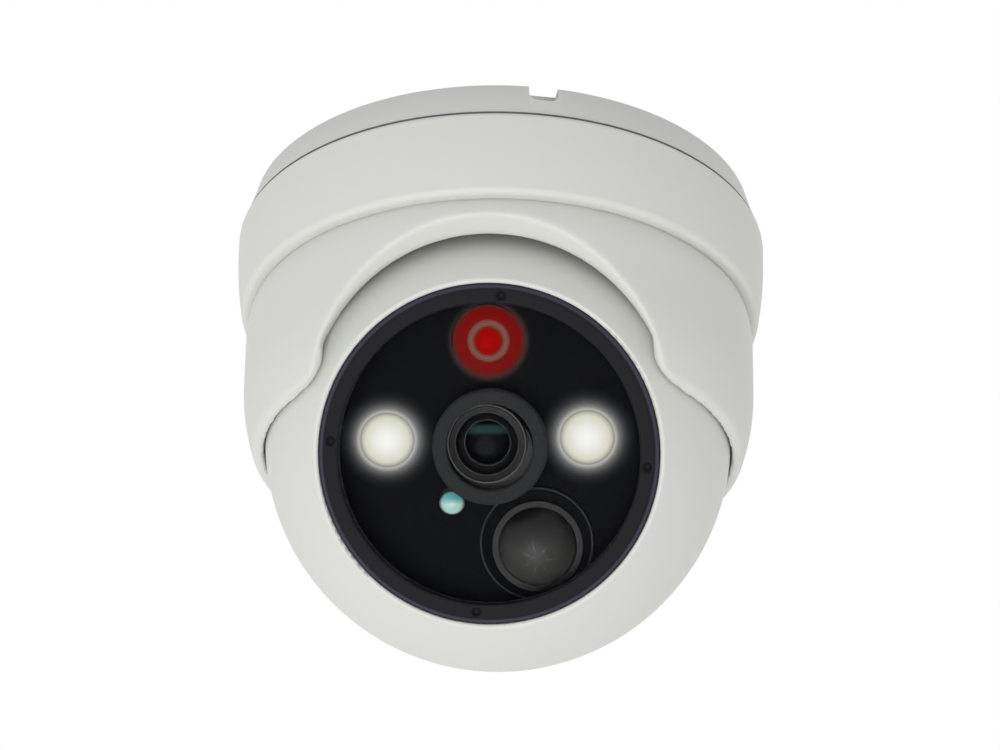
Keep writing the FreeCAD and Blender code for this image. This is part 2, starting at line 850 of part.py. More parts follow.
def pivot_washers():
    low = S.pivot_boss_face - S.pivot_washer_thickness - S.pivot_running_gap
    pieces = []
    for side in (-1, 1):
        pieces.append(tube(S.pivot_radius, S.pivot_washer_radius, low,
                           low + S.pivot_washer_thickness, BALL_CENTRE, ((0, 1, 0), side * 90)))
    return pieces


# Ball shells

BRACKET_ANGLE = 90
SHELL_SCREW_ANGLE = 30


def inner_sphere():
    return S.ball_radius - S.ball_wall


def ball_front_shell():
    hollow = inner_sphere()
    shell = lathe([(S.mouth_radius, S.ledge_front), (S.mouth_radius, S.mouth_edge),
                   (circle_radius_at(S.ball_radius, S.mouth_edge), S.mouth_edge,
                    S.mouth_lip_radius, -1),
                   (S.ball_radius, 0, S.ball_radius, -1),
                   (circle_radius_at(S.ball_radius, S.shell_joint), -S.shell_joint,
                    S.ball_radius, -1),
                   (circle_radius_at(hollow, S.shell_joint), -S.shell_joint),
                   (hollow, 0, hollow, 1),
                   (circle_radius_at(hollow, S.ledge_back), S.ledge_back, hollow, 1),
                   (S.ledge_radius, S.ledge_back), (S.ledge_radius, S.ledge_front)])
    bosses = []
    holes = []
    for x, y, _ in around(3, S.bracket_boss_circle, BRACKET_ANGLE):
        bosses.append(rod(S.bracket_boss_radius, S.ledge_back - S.bracket_front + S.root_depth,
                          (x, y, S.bracket_front)))
        holes.append(rod(S.small_screw_radius, S.small_screw_length,
                         (x, y, S.bracket_front - S.overrun)))
    for x, y, _ in around(3, S.shell_boss_circle, SHELL_SCREW_ANGLE):
        bosses.append(rod(S.shell_boss_radius, S.shell_boss_top + S.shell_joint,
                          (x, y, -S.shell_joint)))
        holes.append(rod(S.shell_screw_radius, S.shell_screw_length - S.shell_screw_grip,
                         (x, y, -S.shell_joint - S.overrun)))
    for side in (-1, 1):
        turn = ((0, 1, 0), side * 90)
        bosses.append(rod(S.pivot_boss_radius, hollow - S.pivot_boss_face + S.root_depth,
                          (side * S.pivot_boss_face, 0, 0), turn))
        holes.append(rod(S.pivot_radius + S.pivot_running_gap, S.ball_wall + hollow,
                         (side * (S.pivot_boss_face - S.overrun), 0, 0), turn))
    inside = overlap(fuse(bosses), sphere(S.ball_radius - S.ball_wall / 2))
    return [cut(fuse([shell, inside]), holes)]


def ball_rear_shell():
    hollow = inner_sphere()
    flat = -S.rear_flat
    inside = flat + S.ball_wall
    lip_outer = circle_radius_at(hollow, S.shell_joint) - S.inner_fit_gap
    shell = lathe([(S.rear_cable_hole_radius, flat),
                   (circle_radius_at(S.ball_radius, S.rear_flat), flat),
                   (circle_radius_at(S.ball_radius, S.shell_joint), -S.shell_joint,
                    S.ball_radius, 1),
                   (lip_outer, -S.shell_joint), (lip_outer, -S.shell_joint + S.rear_lip_height),
                   (lip_outer - S.rear_lip_wall, -S.shell_joint + S.rear_lip_height),
                   (lip_outer - S.rear_lip_wall, -S.shell_joint - 2 * S.overrun),
                   (circle_radius_at(hollow, S.rear_flat - S.ball_wall), inside,
                    hollow + S.overrun, -1),
                   (S.rear_cable_hole_radius, inside)])
    ball = rod(S.ball_radius, S.rear_flat - S.shell_joint, (0, 0, flat))
    solids = [shell]
    holes = []
    for x, y, _ in around(3, S.shell_boss_circle, SHELL_SCREW_ANGLE):
        column = S.shell_boss_radius + S.shell_column_wall
        solids.append(rod(column, S.rear_flat - S.shell_joint, (x, y, flat)))
        holes.append(rod(S.shell_screw_radius + S.shell_screw_gap, S.rear_flat, (x, y, flat)))
        holes.append(rod(S.shell_screw_head_radius + S.shell_head_gap,
                         S.rear_flat - S.shell_screw_seat, (x, y, flat)))
        holes.append(rod(column + S.shell_column_gap, S.rear_lip_height + S.overrun,
                         (x, y, -S.shell_joint)))
    envelope = overlap(ball, sphere(S.ball_radius))
    lip = rod(S.ball_radius, S.rear_lip_height + S.overrun, (0, 0, -S.shell_joint))
    return [cut(overlap(fuse(solids), fuse([envelope, lip])), holes)]


def shell_screws():
    pieces = []
    for x, y, _ in around(3, S.shell_boss_circle, SHELL_SCREW_ANGLE):
        pieces.append(screw(S.shell_screw_radius, S.shell_screw_length, S.shell_screw_head_radius,
                            S.shell_screw_head, (x, y, -S.shell_screw_seat), ((1, 0, 0), 180)))
    return pieces


def rear_cable_seal():
    flat = -S.rear_flat
    return [lathe([(S.rear_seal_bore_radius, flat - S.rear_seal_flange),
                   (S.rear_seal_flange_radius, flat - S.rear_seal_flange),
                   (S.rear_seal_flange_radius, flat), (S.rear_cable_hole_radius, flat),
                   (S.rear_cable_hole_radius, flat + S.ball_wall),
                   (S.rear_seal_bore_radius, flat + S.ball_wall)])]


# Window


def glass_front():
    return S.bezel_front - S.bezel_lip


def glass_back():
    return glass_front() - S.glass_thickness


def skirt_inner():
    return S.mouth_radius - S.bezel_gap - S.bezel_skirt_wall


def bezel_ring():
    outer = S.mouth_radius - S.bezel_gap
    ring = lathe([(skirt_inner(), S.ledge_front), (outer, S.ledge_front),
                  (outer, S.bezel_front - S.bezel_chamfer),
                  (outer - S.bezel_chamfer, S.bezel_front), (S.bezel_bore_radius, S.bezel_front),
                  (S.bezel_bore_radius, glass_front()), (skirt_inner(), glass_front())])
    holes = []
    for x, y, _ in around(4, S.spanner_hole_circle, S.spanner_hole_angle):
        holes.append(rod(S.spanner_hole_radius, S.spanner_hole_depth + S.overrun,
                         (x, y, S.bezel_front - S.spanner_hole_depth)))
    return [cut(ring, holes)]


def front_glass():
    return [rod(skirt_inner() - S.glass_edge_gap, S.glass_thickness, (0, 0, glass_back()))]


def glass_gasket():
    outer = skirt_inner() - S.glass_edge_gap
    return [tube(outer - S.gasket_width, outer, S.ledge_front, glass_back())]


def mask_plate():
    top = S.ledge_back
    back = top - S.mask_thickness
    gap = S.mask_hole_gap
    through = S.mask_thickness + 2 * S.overrun
    low = back - S.overrun
    plate = rod(S.mask_radius, S.mask_thickness, (0, 0, back))
    openings = [(S.lens_head_radius, 0, 0),
                (S.white_led_flange_radius, S.white_led_right, S.white_led_up),
                (S.white_led_flange_radius, S.white_led_left, S.white_led_up),
                (S.red_window_radius, S.red_led_across, S.red_led_up),
                (S.photocell_radius, S.photocell_across, S.photocell_up),
                (S.pir_radius, S.pir_across, S.pir_up)]
    holes = [rod(radius + gap, through, (x, y, low)) for radius, x, y in openings]
    holes.append(rod(S.pir_recess_radius, S.mask_thickness,
                     (S.pir_across, S.pir_up, top - S.pir_recess_depth)))
    for x, y, _ in around(3, S.bracket_boss_circle, BRACKET_ANGLE):
        holes.append(rod(S.bracket_boss_radius + gap, through, (x, y, low)))
    return [cut(plate, holes)]


# Light board


def led_board():
    back = S.led_board_front - S.led_board_thickness
    board = rod(S.led_board_radius, S.led_board_thickness, (0, 0, back))
    through = S.led_board_thickness + 2 * S.overrun
    low = back - S.overrun
    holes = [rod(S.led_board_hole_radius, through, (0, 0, low))]
    for x, y, _ in around(3, S.led_post_circle, SHELL_SCREW_ANGLE):
        holes.append(rod(S.small_screw_radius + S.screw_hole_gap, through, (x, y, low)))
    return [cut(board, holes)]


def white_led_places():
    return [(across, S.white_led_up, S.led_board_front)
            for across in (S.white_led_left, S.white_led_right)]


def white_led_lenses():
    hollow = S.white_led_hollow_radius
    roof = S.white_led_chip_thickness + S.white_led_roof_gap
    shoulder = S.white_led_height - S.white_led_radius
    return [lathe([(hollow, 0), (S.white_led_flange_radius, 0), (S.white_led_flange_radius, shoulder),
                   (S.white_led_radius, shoulder),
                   (0, S.white_led_height, S.white_led_radius, 1), (0, roof), (hollow, roof)], at)
            for at in white_led_places()]


def white_led_chips():
    half = S.white_led_chip_side / 2
    return [slab(half, half, z, z + S.white_led_chip_thickness, x, y)
            for x, y, z in white_led_places()]


def red_led():
    straight = S.red_led_height - S.red_led_radius
    return [lathe([(0, 0), (S.red_led_radius, 0), (S.red_led_radius, straight),
                   (0, S.red_led_height, S.red_led_radius, 1)],
                  (S.red_led_across, S.red_led_up, S.led_board_front))]


def red_led_ring():
    return [tube(S.red_led_radius, S.red_ring_radius, 0, S.red_ring_height - S.red_ring_below_top,
                 (S.red_led_across, S.red_led_up, S.led_board_front))]


def red_window():
    low = S.ledge_back - S.mask_thickness
    return [tube(S.red_ring_radius, S.red_window_radius + S.mask_hole_gap, low, S.ledge_back,
                 (S.red_led_across, S.red_led_up, 0))]


def photocell():
    return [rod(S.photocell_radius, S.photocell_height,
                (S.photocell_across, S.photocell_up, S.led_board_front))]


def dome_radius(base_radius, rise):
    """Radius of the sphere whose cap has this base radius and rise."""
    return (base_radius * base_radius + rise * rise) / (2 * rise)


def pir_lens():
    straight = S.pir_height - S.pir_rise
    inner_rise = S.pir_rise - S.pir_wall
    flange = S.ledge_back - S.mask_thickness - S.led_board_front
    inner = S.pir_radius - S.pir_wall
    return [lathe([(inner, 0), (S.pir_radius + S.pir_flange_reach, 0),
                   (S.pir_radius + S.pir_flange_reach, flange), (S.pir_radius, flange),
                   (S.pir_radius, straight),
                   (0, S.pir_height, dome_radius(S.pir_radius, S.pir_rise), 1),
                   (0, S.pir_height - S.pir_wall),
                   (inner, straight, dome_radius(inner, inner_rise), -1)],
                  (S.pir_across, S.pir_up, S.led_board_front))]


def pir_sensor():
    return [rod(S.pir_sensor_radius, S.pir_sensor_height,
                (S.pir_across, S.pir_up, S.led_board_front))]


# Lens


def lens_light_shield():
    return [tube(S.shield_bore_radius, S.shield_radius, S.ledge_back, glass_back())]


def lens_barrel():
    front = S.lens_front
    step = front - S.lens_step_depth
    return [lathe([(S.lens_bore_radius, S.lens_back), (S.lens_thread_radius, S.lens_back),
                   (S.lens_thread_radius, S.lens_head_back), (S.lens_head_radius, S.lens_head_back),
                   (S.lens_head_radius, front - S.lens_head_chamfer),
                   (S.lens_head_radius - S.lens_head_chamfer, front),
                   (S.lens_step_radius, front), (S.lens_step_radius, step),
                   (S.lens_bore_radius, step)])]


def lens_element(front, thickness):
    """A glass with a bulging front that fills the barrel's bore."""
    edge = front - thickness / 2
    bulge = dome_radius(S.lens_bore_radius, thickness / 2)
    return lathe([(0, front - thickness), (S.lens_bore_radius, front - thickness),
                  (S.lens_bore_radius, edge), (0, front, bulge, 1)])


def lens_glasses():
    front = S.lens_front - S.lens_step_depth - S.front_glass_depth
    return [lens_element(front, S.front_glass_thickness),
            lens_element(S.lens_back + S.rear_glass_thickness, S.rear_glass_thickness)]


def lens_stop():
    top = S.lens_front - S.lens_step_depth - S.front_glass_depth - S.front_glass_thickness
    return [tube(S.lens_stop_radius, S.lens_bore_radius, top - S.lens_stop_thickness, top)]


def lens_lock_ring():
    return [tube(S.lens_thread_radius + S.lens_thread_gap, S.lock_nut_radius,
                 S.holder_neck_top, S.holder_neck_top + S.lock_nut_thickness)]


def lens_holder():
    low = S.main_board_front
    box = slab(S.holder_half_length, S.holder_half_width, low, S.holder_box_top)
    neck = rod(S.holder_neck_radius, S.holder_neck_height + S.root_depth,
               (0, 0, S.holder_box_top - S.root_depth))
    bay_top = S.slide_bay_floor + S.slide_bay_height
    bore = S.lens_thread_radius + S.lens_thread_gap
    return [cut(fuse([box, neck]),
                [slab(S.slide_bay_half_length, S.slide_bay_half_width, S.slide_bay_floor, bay_top),
                 slab(S.sensor_bay_half_length, S.sensor_bay_half_width, low - S.overrun, bay_top),
                 rod(S.light_path_radius, S.holder_box_height, (0, 0, low)),
                 rod(bore, S.holder_neck_height + S.overrun, (0, 0, S.holder_box_top))])]


def filter_coil():
    middle = S.holder_half_width + S.coil_width / 2
    low = S.main_board_front
    return [slab(S.coil_length / 2, S.coil_width / 2, low, low + S.coil_height, 0, middle)]


# Day and night filter slide, with the infrared-cut glass in front of the sensor at rest


def frame_low():
    return S.slide_bay_floor + S.filter_frame_gap


def frame_top():
    return frame_low() + S.filter_frame_thickness


def filter_frame():
    half = S.filter_pitch / 2 + S.filter_frame_margin
    frame = slab(half, S.filter_frame_half_width, frame_low(), frame_top(), S.filter_pitch / 2)
    gap = S.filter_seat_gap
    holes = []
    for across in (0, S.filter_pitch):
        holes.append(slab(S.filter_length / 2 + gap, S.filter_width / 2 + gap,
                          frame_top() - S.filter_thickness, frame_top() + S.overrun, across))
        holes.append(slab(S.filter_window_length / 2, S.filter_window_width / 2,
                          frame_low() - S.overrun, frame_top() + S.overrun, across))
    return [cut(frame, holes)]


def filter_plate(across):
    return [slab(S.filter_length / 2, S.filter_width / 2, frame_top() - S.filter_thickness,
                 frame_top(), across)]


def filter_magnet():
    middle = (S.filter_frame_half_width + S.filter_width / 2) / 2 + S.filter_seat_gap / 2
    return [slab(S.magnet_length / 2, S.magnet_width / 2, frame_top(),
                 frame_top() + S.magnet_thickness, S.filter_pitch / 2, middle)]


# Bracket, boards and their fasteners


def bracket_back():
    return S.bracket_front - S.bracket_thickness


def camera_bracket():
    low = bracket_back()
    solids = [rod(S.bracket_radius, S.bracket_thickness, (0, 0, low))]
    holes = [slab(S.bracket_window_half_length, S.bracket_window_half_width,
                  low - S.overrun, S.bracket_front + S.overrun)]
    through = S.bracket_thickness + 2 * S.overrun
    for x, y, angle in around(3, S.bracket_boss_circle, BRACKET_ANGLE):
        ear = S.bracket_ear_width / 2
        reach = S.bracket_radius - S.bracket_ear_root
        solids.append(rod(ear, S.bracket_thickness, (x, y, low)))
        solids.append(block((S.bracket_boss_circle - reach, 2 * ear, S.bracket_thickness),
                            (reach * cosine(angle) + ear * sine(angle),
                             reach * sine(angle) - ear * cosine(angle), low), ((0, 0, 1), angle)))
        holes.append(rod(S.small_screw_radius + S.screw_hole_gap, through,
                         (x, y, low - S.overrun)))
    envelope = rod(S.bracket_boss_circle + S.bracket_boss_radius, S.bracket_thickness, (0, 0, low))
    return [cut(overlap(fuse(solids), envelope), holes)]


def bracket_screws():
    return [screw(S.small_screw_radius, S.small_screw_length - S.root_depth, S.small_head_radius,
                  S.small_head, (x, y, bracket_back()), ((1, 0, 0), 180))
            for x, y, _ in around(3, S.bracket_boss_circle, BRACKET_ANGLE)]


def led_board_posts():
    high = S.led_board_front - S.led_board_thickness
    return [cut(rod(S.post_radius, high - S.bracket_front, (x, y, S.bracket_front)),
                [rod(S.small_screw_radius, high, (x, y, high - S.small_screw_length))])
            for x, y, _ in around(3, S.led_post_circle, SHELL_SCREW_ANGLE)]


def led_board_screws():
    return [screw(S.small_screw_radius, S.small_screw_length, S.small_head_radius, S.small_head,
                  (x, y, S.led_board_front))
            for x, y, _ in around(3, S.led_post_circle, SHELL_SCREW_ANGLE)]


def main_board_corners():
    for x_side in (-1, 1):
        for y_side in (-1, 1):
            yield x_side * S.main_post_offset, y_side * S.main_post_offset


def main_board():
    back = S.main_board_front - S.main_board_thickness
    board = slab(S.main_board_half_side, S.main_board_half_side, back, S.main_board_front)
    holes = [rod(S.small_screw_radius + S.screw_hole_gap, S.main_board_thickness + 2 * S.overrun,
                 (x, y, back - S.overrun)) for x, y in main_board_corners()]
    return [cut(board, holes)]


def main_board_posts():
    low = S.main_board_front
    return [cut(rod(S.post_radius, bracket_back() - low, (x, y, low)),
                [rod(S.small_screw_radius, S.small_screw_length, (x, y, low - S.overrun))])
            for x, y in main_board_corners()]


def main_board_screws():
    back = S.main_board_front - S.main_board_thickness
    return [screw(S.small_screw_radius, S.small_screw_length, S.small_head_radius, S.small_head,
                  (x, y, back), ((1, 0, 0), 180)) for x, y in main_board_corners()]


def image_sensor():
    return [slab(S.image_sensor_length / 2, S.image_sensor_width / 2, S.main_board_front,
                 S.main_board_front + S.image_sensor_thickness)]


def processor_chip():
    back = S.main_board_front - S.main_board_thickness
    half = S.processor_side / 2
    return [slab(half, half, back - S.processor_thickness, back)]


def board_connectors():
    back = S.main_board_front - S.main_board_thickness
    return [slab(S.connector_length / 2, S.connector_width / 2, back - S.connector_height, back,
                 0, side * S.connector_offset) for side in (-1, 1)]


node("base_plate", base_plate())
node("cable_grommet", cable_grommet())
node("seal_ring", seal_ring())
node("cover_shell", cover_shell())
node("glide_ring", glide_ring())
node("pan_friction_ring", pan_friction_ring())
node("pan_lock_ring", pan_lock_ring())
node("turret_ring", turret_ring())
node("pivot_screws", pivot_screws())
node("pivot_washers", pivot_washers())
for build in (ball_front_shell, ball_rear_shell, shell_screws, rear_cable_seal, bezel_ring,
              front_glass, glass_gasket, mask_plate, led_board, white_led_lenses, white_led_chips,
              red_led, red_led_ring, red_window, photocell, pir_lens, pir_sensor,
              lens_light_shield, lens_barrel, lens_glasses, lens_stop, lens_lock_ring, lens_holder,
              filter_coil, filter_frame, filter_magnet, camera_bracket, bracket_screws,
              led_board_posts, led_board_screws, main_board, main_board_posts, main_board_screws,
              image_sensor, processor_chip, board_connectors):
    face_node(build.__name__, build())
face_node("infrared_cut_filter", filter_plate(0))
face_node("clear_filter", filter_plate(S.filter_pitch))

doc.recompute()

failed = [piece.Name for piece in doc.Objects if {"Invalid", "Error"} & set(piece.State)]
if failed:
    raise RuntimeError("failed objects: " + ", ".join(failed))
os.makedirs("parts", exist_ok=True)
for name, piece in nodes.items():
    shape = piece.Shape
    if shape.isNull() or not shape.isValid() or not shape.Solids:
        raise RuntimeError("bad shape: " + name)
    shape.exportStep("parts/%s.step" % name)
    print("%-22s solids %d  volume %9.1f" % (name, len(shape.Solids), shape.Volume))
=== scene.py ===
# Dresses the packed ceiling dome camera: coated shells, dark window, lamps, lens and sensors.
import json
import math

import bpy
from mathutils import Matrix, Vector


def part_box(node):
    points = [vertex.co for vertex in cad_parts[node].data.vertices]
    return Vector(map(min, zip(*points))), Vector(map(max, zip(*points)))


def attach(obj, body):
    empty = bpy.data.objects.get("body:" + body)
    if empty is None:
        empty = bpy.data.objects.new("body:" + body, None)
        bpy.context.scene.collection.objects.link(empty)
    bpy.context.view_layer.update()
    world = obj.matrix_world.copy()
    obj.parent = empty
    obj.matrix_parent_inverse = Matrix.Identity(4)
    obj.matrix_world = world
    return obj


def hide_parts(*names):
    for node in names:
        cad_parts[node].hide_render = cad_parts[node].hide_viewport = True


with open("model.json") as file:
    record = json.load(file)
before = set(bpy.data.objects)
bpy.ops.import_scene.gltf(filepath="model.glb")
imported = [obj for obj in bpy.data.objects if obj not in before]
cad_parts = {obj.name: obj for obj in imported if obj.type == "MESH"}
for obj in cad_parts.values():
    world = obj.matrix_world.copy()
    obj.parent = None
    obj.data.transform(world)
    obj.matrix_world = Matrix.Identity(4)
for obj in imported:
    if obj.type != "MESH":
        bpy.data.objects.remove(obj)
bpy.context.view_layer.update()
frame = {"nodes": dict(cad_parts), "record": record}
MM = 0.001

bl_info = {
    "name": "Dome camera dresser",
    "version": (1, 1, 0),
    "blender": (4, 5, 0),
    "location": "3D Viewport > Sidebar > Dome camera",
    "description": "Models and finishes the visible pieces of a ceiling dome camera",
    "category": "Object",
}

# The camera's face looks down by this angle, from the middle of the ball
LOOK_DOWN = math.radians(33)
BALL_CENTRE = Vector((0, 0, -47.4)) * MM
ACROSS = Vector((1, 0, 0))
OUTWARD = Vector((0, -math.cos(LOOK_DOWN), -math.sin(LOOK_DOWN)))
UPWARD = OUTWARD.cross(ACROSS)
FACE = Matrix.Translation(BALL_CENTRE) @ Matrix((ACROSS, UPWARD, OUTWARD)).transposed().to_4x4()
SEGMENTS = 96
RIM_SEGMENTS = 256
# Points nearer than this are merged
CLOSE = 0.001 * MM
# Edges sharper than these stay crisp, on turned pieces and on copies of CAD nodes
TURNED_CREASE = math.radians(32)
COPIED_CREASE = math.radians(28)
# Face of the mask plate, from the ball's middle
PLATE = 22.5 * MM
# How the soft light's brightness changes with its direction
LIGHT_LEAN = (-0.05, 0.15, -0.10)
LAMP_PLACE = Vector((-0.15, -0.75, -0.85))
LAMP_WIDTH = 0.9
FLOOR_WIDTH, FLOOR_LEVEL = 2.4, -1.3
WHITE = (1, 1, 1, 1)
# Spokes in the motion sensor's dome
SPOKES = 7


# Settings


def srgb(code):
    """A hex colour as linear red, green and blue."""
    parts = [int(code[i:i + 2], 16) / 255 for i in (1, 3, 5)]
    return tuple(c / 12.92 if c <= 0.04045 else ((c + 0.055) / 1.055) ** 2.4 for c in parts)


def length(name, text, size_mm):
    """A size that a user may change."""
    return bpy.props.FloatProperty(name=name, description=text, default=size_mm * MM,
                                   unit="LENGTH", precision=5)


def spot(name, text, across_mm, up_mm):
    """A place on the camera's face, from its middle."""
    return bpy.props.FloatVectorProperty(name=name, description=text, size=2, unit="LENGTH", precision=5,
                                         default=(across_mm * MM, up_mm * MM))


def colour(name, text, code):
    """A colour that a user may change."""
    return bpy.props.FloatVectorProperty(name=name, description=text, subtype="COLOR", size=3,
                                         default=srgb(code), min=0, max=1)


class ShellSettings(bpy.types.PropertyGroup):
    """Finish of the white shells."""
    coat: colour("Coat", "Powder coat on the cover, ring and ball", "#D9DAD5")
    moulding: colour("Moulding", "Plastic of the base", "#D6D7D3")
    grain: length("Grain", "Distance between the bumps of the coat", 0.45)
    voxel: length("Voxel", "Half the width over which the coat rounds an edge", 0.52)
    rim_top_radius: length("Rim top radius", "Base's rim at the ceiling", 46.68)
    notch_width: length("Notch width", "Notch in the rim for a surface lead", 5.3)
    notch_depth: length("Notch depth", "Notch's depth from the ceiling", 3.4)
    notch_round: length("Notch round", "Rounding of the notch's corners", 1.5)
    notch_turn: bpy.props.FloatProperty(name="Notch turn", description="Notch's place round the rim",
                                        default=math.radians(12.5), subtype="ANGLE")
    rim_radius: length("Rim radius", "Base's rim where it meets the cover", 48.65)
    seam_radius: length("Seam radius", "Seal that shows between base and cover", 48.85)


class WindowSettings(bpy.types.PropertyGroup):
    """Ring and plate of the window."""
    ring: colour("Ring", "Front of the window ring", "#1B1B1F")
    # Colour of the outer chamfer: a painted violet sheen
    chamfer_sheen: colour("Ring edge", "Outer chamfer of the window ring", "#454350")
    ring_bore: colour("Ring bore", "Inner edge of the window ring", "#1C1C20")
    mask: colour("Mask", "Plate behind the glass", "#07080B")
    ring_voxel: length("Ring voxel", "Half the width over which the ring's edges are rounded", 0.26)


class WhiteLampSettings(bpy.types.PropertyGroup):
    """The two white lamps."""
    left: spot("Left lamp", "Middle of the left lamp", -18.5, 2.2)
    right: spot("Right lamp", "Middle of the right lamp", 17.3, 2.2)
    dome_radius: length("Dome radius", "Clear dome of a lamp", 4.5)
    flange_radius: length("Flange radius", "Flat rim of a lamp", 5.75)
    bottom: length("Rim height", "Plate that the lamps stand on, from the ball's middle", 22.5)
    top: length("Dome top", "Top of a lamp's dome, from the ball's middle", 24.7)


class RedLampSettings(bpy.types.PropertyGroup):
    """The red lamp, its cap and its window."""
    place: spot("Red lamp", "Middle of the red lamp", -0.05, 19.7)
    dome_radius: length("Dome radius", "Red dome", 2.5)
    cap_radius: length("Cap radius", "Metal cap round the dome", 3.8)
    window_radius: length("Window radius", "Dark red window round the cap", 6.45)
    top: length("Dome top", "Top of the red dome, from the ball's middle", 24.9)


class LensSettings(bpy.types.PropertyGroup):
    """The lens, and the foam ring that keeps lamp light out of it."""
    foam_place: spot("Foam ring", "Middle of the foam ring", 0.05, 0.95)
    place: spot("Lens", "Middle of the lens", -0.55, 1.5)
    foam_radius: length("Foam radius", "Outside of the foam ring", 10.3)
    foam_bore: length("Foam bore", "Inside of the foam ring", 7.75)
    head_radius: length("Head radius", "Outside of the lens head", 7.15)
    glass_radius: length("Glass radius", "Front glass of the lens", 3.95)
    foam: colour("Foam", "Foam ring", "#2E2F31")
    # The coating's colour, for the painted teal reflection in the front glass
    tint: colour("Coating", "Coating seen in the front glass", "#2C4646")


class SensorSettings(bpy.types.PropertyGroup):
    """The light sensor and the motion sensor."""
    light_place: spot("Light sensor", "Middle of the light sensor", -7.15, -9.3)
    light_radius: length("Light sensor radius", "Face of the light sensor", 2.1)
    motion_place: spot("Motion sensor", "Middle of the motion sensor", 8.05, -17.3)
    recess_place: spot("Recess", "Middle of the recess round the motion sensor", 7.9, -16.8)
    motion_radius: length("Motion sensor radius", "Dome of the motion sensor", 7.0)
    recess_radius: length("Recess radius", "Recess round the motion sensor", 10.0)
    # Painted shade on the light sensor: the upper colour is shaded, the lower lit
    resin_in_painted_shade: colour("Resin top", "Upper half of the light sensor", "#6CC4C2")
    resin_in_painted_light: colour("Resin bottom", "Lower half of the light sensor", "#B6E2DA")
    dome_top: colour("Dome top", "Upper part of the motion sensor's smoky dome", "#18181A")
    # The lower colour holds a painted reflection of the bright light from below
    dome_low_painted_reflection: colour("Dome bottom", "Lower part of the motion sensor's smoky dome", "#464644")


class StageSettings(bpy.types.PropertyGroup):
    """Camera, light and floor."""
    distance: bpy.props.FloatProperty(name="Distance", description="Camera to the object", default=0.770,
                                      unit="LENGTH")
    turn: bpy.props.FloatProperty(name="Turn", description="Camera's turn about the upright axis",
                                  default=math.radians(3.7), subtype="ANGLE")
    low: bpy.props.FloatProperty(name="Low", description="Camera's angle below the horizontal",
                                 default=math.radians(27.808), subtype="ANGLE")
    roll: bpy.props.FloatProperty(name="Roll", description="Camera's roll",
                                  default=math.radians(0.961), subtype="ANGLE")
    lens: bpy.props.FloatProperty(name="Lens", description="Focal length in millimetres",
                                  default=150.35)
    level: bpy.props.FloatProperty(name="Light level", description="Brightness of the soft light all round",
                                   default=0.74)
    lamp: bpy.props.FloatProperty(name="Lamp", description="Power of the soft lamp below and in front",
                                  default=5.6)
    floor: colour("Floor", "Floor far below the object", "#F2F2F0")


SETTINGS = {
    "dome_shells": ShellSettings,
    "dome_window": WindowSettings,
    "dome_white_lamps": WhiteLampSettings,
    "dome_red_lamp": RedLampSettings,
    "dome_lens": LensSettings,
    "dome_sensors": SensorSettings,
    "dome_stage": StageSettings,
}


# Materials


def add_node(material, kind, links=None, **settings):
    """Add a shader node to a material or world, set its sockets and properties, and link inputs."""
    made = material.node_tree.nodes.new(kind)
    for name, value in settings.items():
        if hasattr(made, name):
            setattr(made, name, value)
        else:
            made.inputs[name.replace("_", " ")].default_value = value
    for socket, source in (links or {}).items():
        material.node_tree.links.new(source, made.inputs[socket])
    return made


def new_material(name):
    """A node material that holds nothing yet."""
    material = bpy.data.materials.new(name)
    material.use_nodes = True
    material.node_tree.nodes.clear()
    return material


def close_material(material, links, **settings):
    """End a material with its Principled shader and its output."""
    shader = add_node(material, "ShaderNodeBsdfPrincipled", links, **settings)
    add_node(material, "ShaderNodeOutputMaterial", {"Surface": shader.outputs["BSDF"]})
    return material


def two_sided(material, kind, operation, first, second):
    """A math node whose sides are sockets or constants."""
    made = add_node(material, kind, operation=operation)
    for index, value in enumerate((first, second)):
        if hasattr(value, "is_linked"):
            material.node_tree.links.new(value, made.inputs[index])
        elif value is not None:
            made.inputs[index].default_value = value
    return made


def vector_math(material, operation, first, second=None):
    """The result of one step on vectors."""
    made = two_sided(material, "ShaderNodeVectorMath", operation, first, second)
    return made.outputs["Value" if operation in ("DOT_PRODUCT", "LENGTH") else "Vector"]


def number_math(material, operation, first, second=None):
    """The result of one step on numbers."""
    return two_sided(material, "ShaderNodeMath", operation, first, second).outputs["Value"]


def mapped(material, value, **ends):
    """A number moved from one range to another, 0 to 1 where no end is given."""
    return add_node(material, "ShaderNodeMapRange", {"Value": value}, **ends).outputs["Result"]


def blended(material, factor, first, second):
    """A colour that goes from the first to the second."""
    mix = add_node(material, "ShaderNodeMix", {"Factor": factor}, data_type="RGBA")
    for socket, value in ((6, first), (7, second)):
        if hasattr(value, "is_linked"):
            material.node_tree.links.new(value, mix.inputs[socket])
        else:
            mix.inputs[socket].default_value = (*value, 1)
    return mix.outputs[2]


def object_place(material):
    """Where a point lies on the object."""
    return add_node(material, "ShaderNodeTexCoord").outputs["Object"]


def grained(material, bump_size, height):
    """A fine noise, and the bump it makes."""
    noise = add_node(material, "ShaderNodeTexNoise", {"Vector": object_place(material)},
                     Scale=1 / bump_size, Detail=3.0, Roughness=0.55)
    bump = add_node(material, "ShaderNodeBump", {"Height": noise.outputs["Fac"]},
                    Strength=1.0, Distance=height)
    return noise.outputs["Fac"], bump.outputs["Normal"]


def finish(name, base, roughness, bump_mm=0.4, height_mm=0.004, spread=0.05, **settings):
    """A moulded, machined or coated surface with a fine grain in its height and colour."""
    material = new_material(name)
    tone, normal = grained(material, bump_mm * MM, height_mm * MM)
    darker = [c * (1 - spread) for c in base]
    lighter = [min(c * (1 + spread), 1) for c in base]
    links = {"Base Color": blended(material, tone, darker, lighter), "Normal": normal}
    return close_material(material, links, Roughness=roughness, **settings)


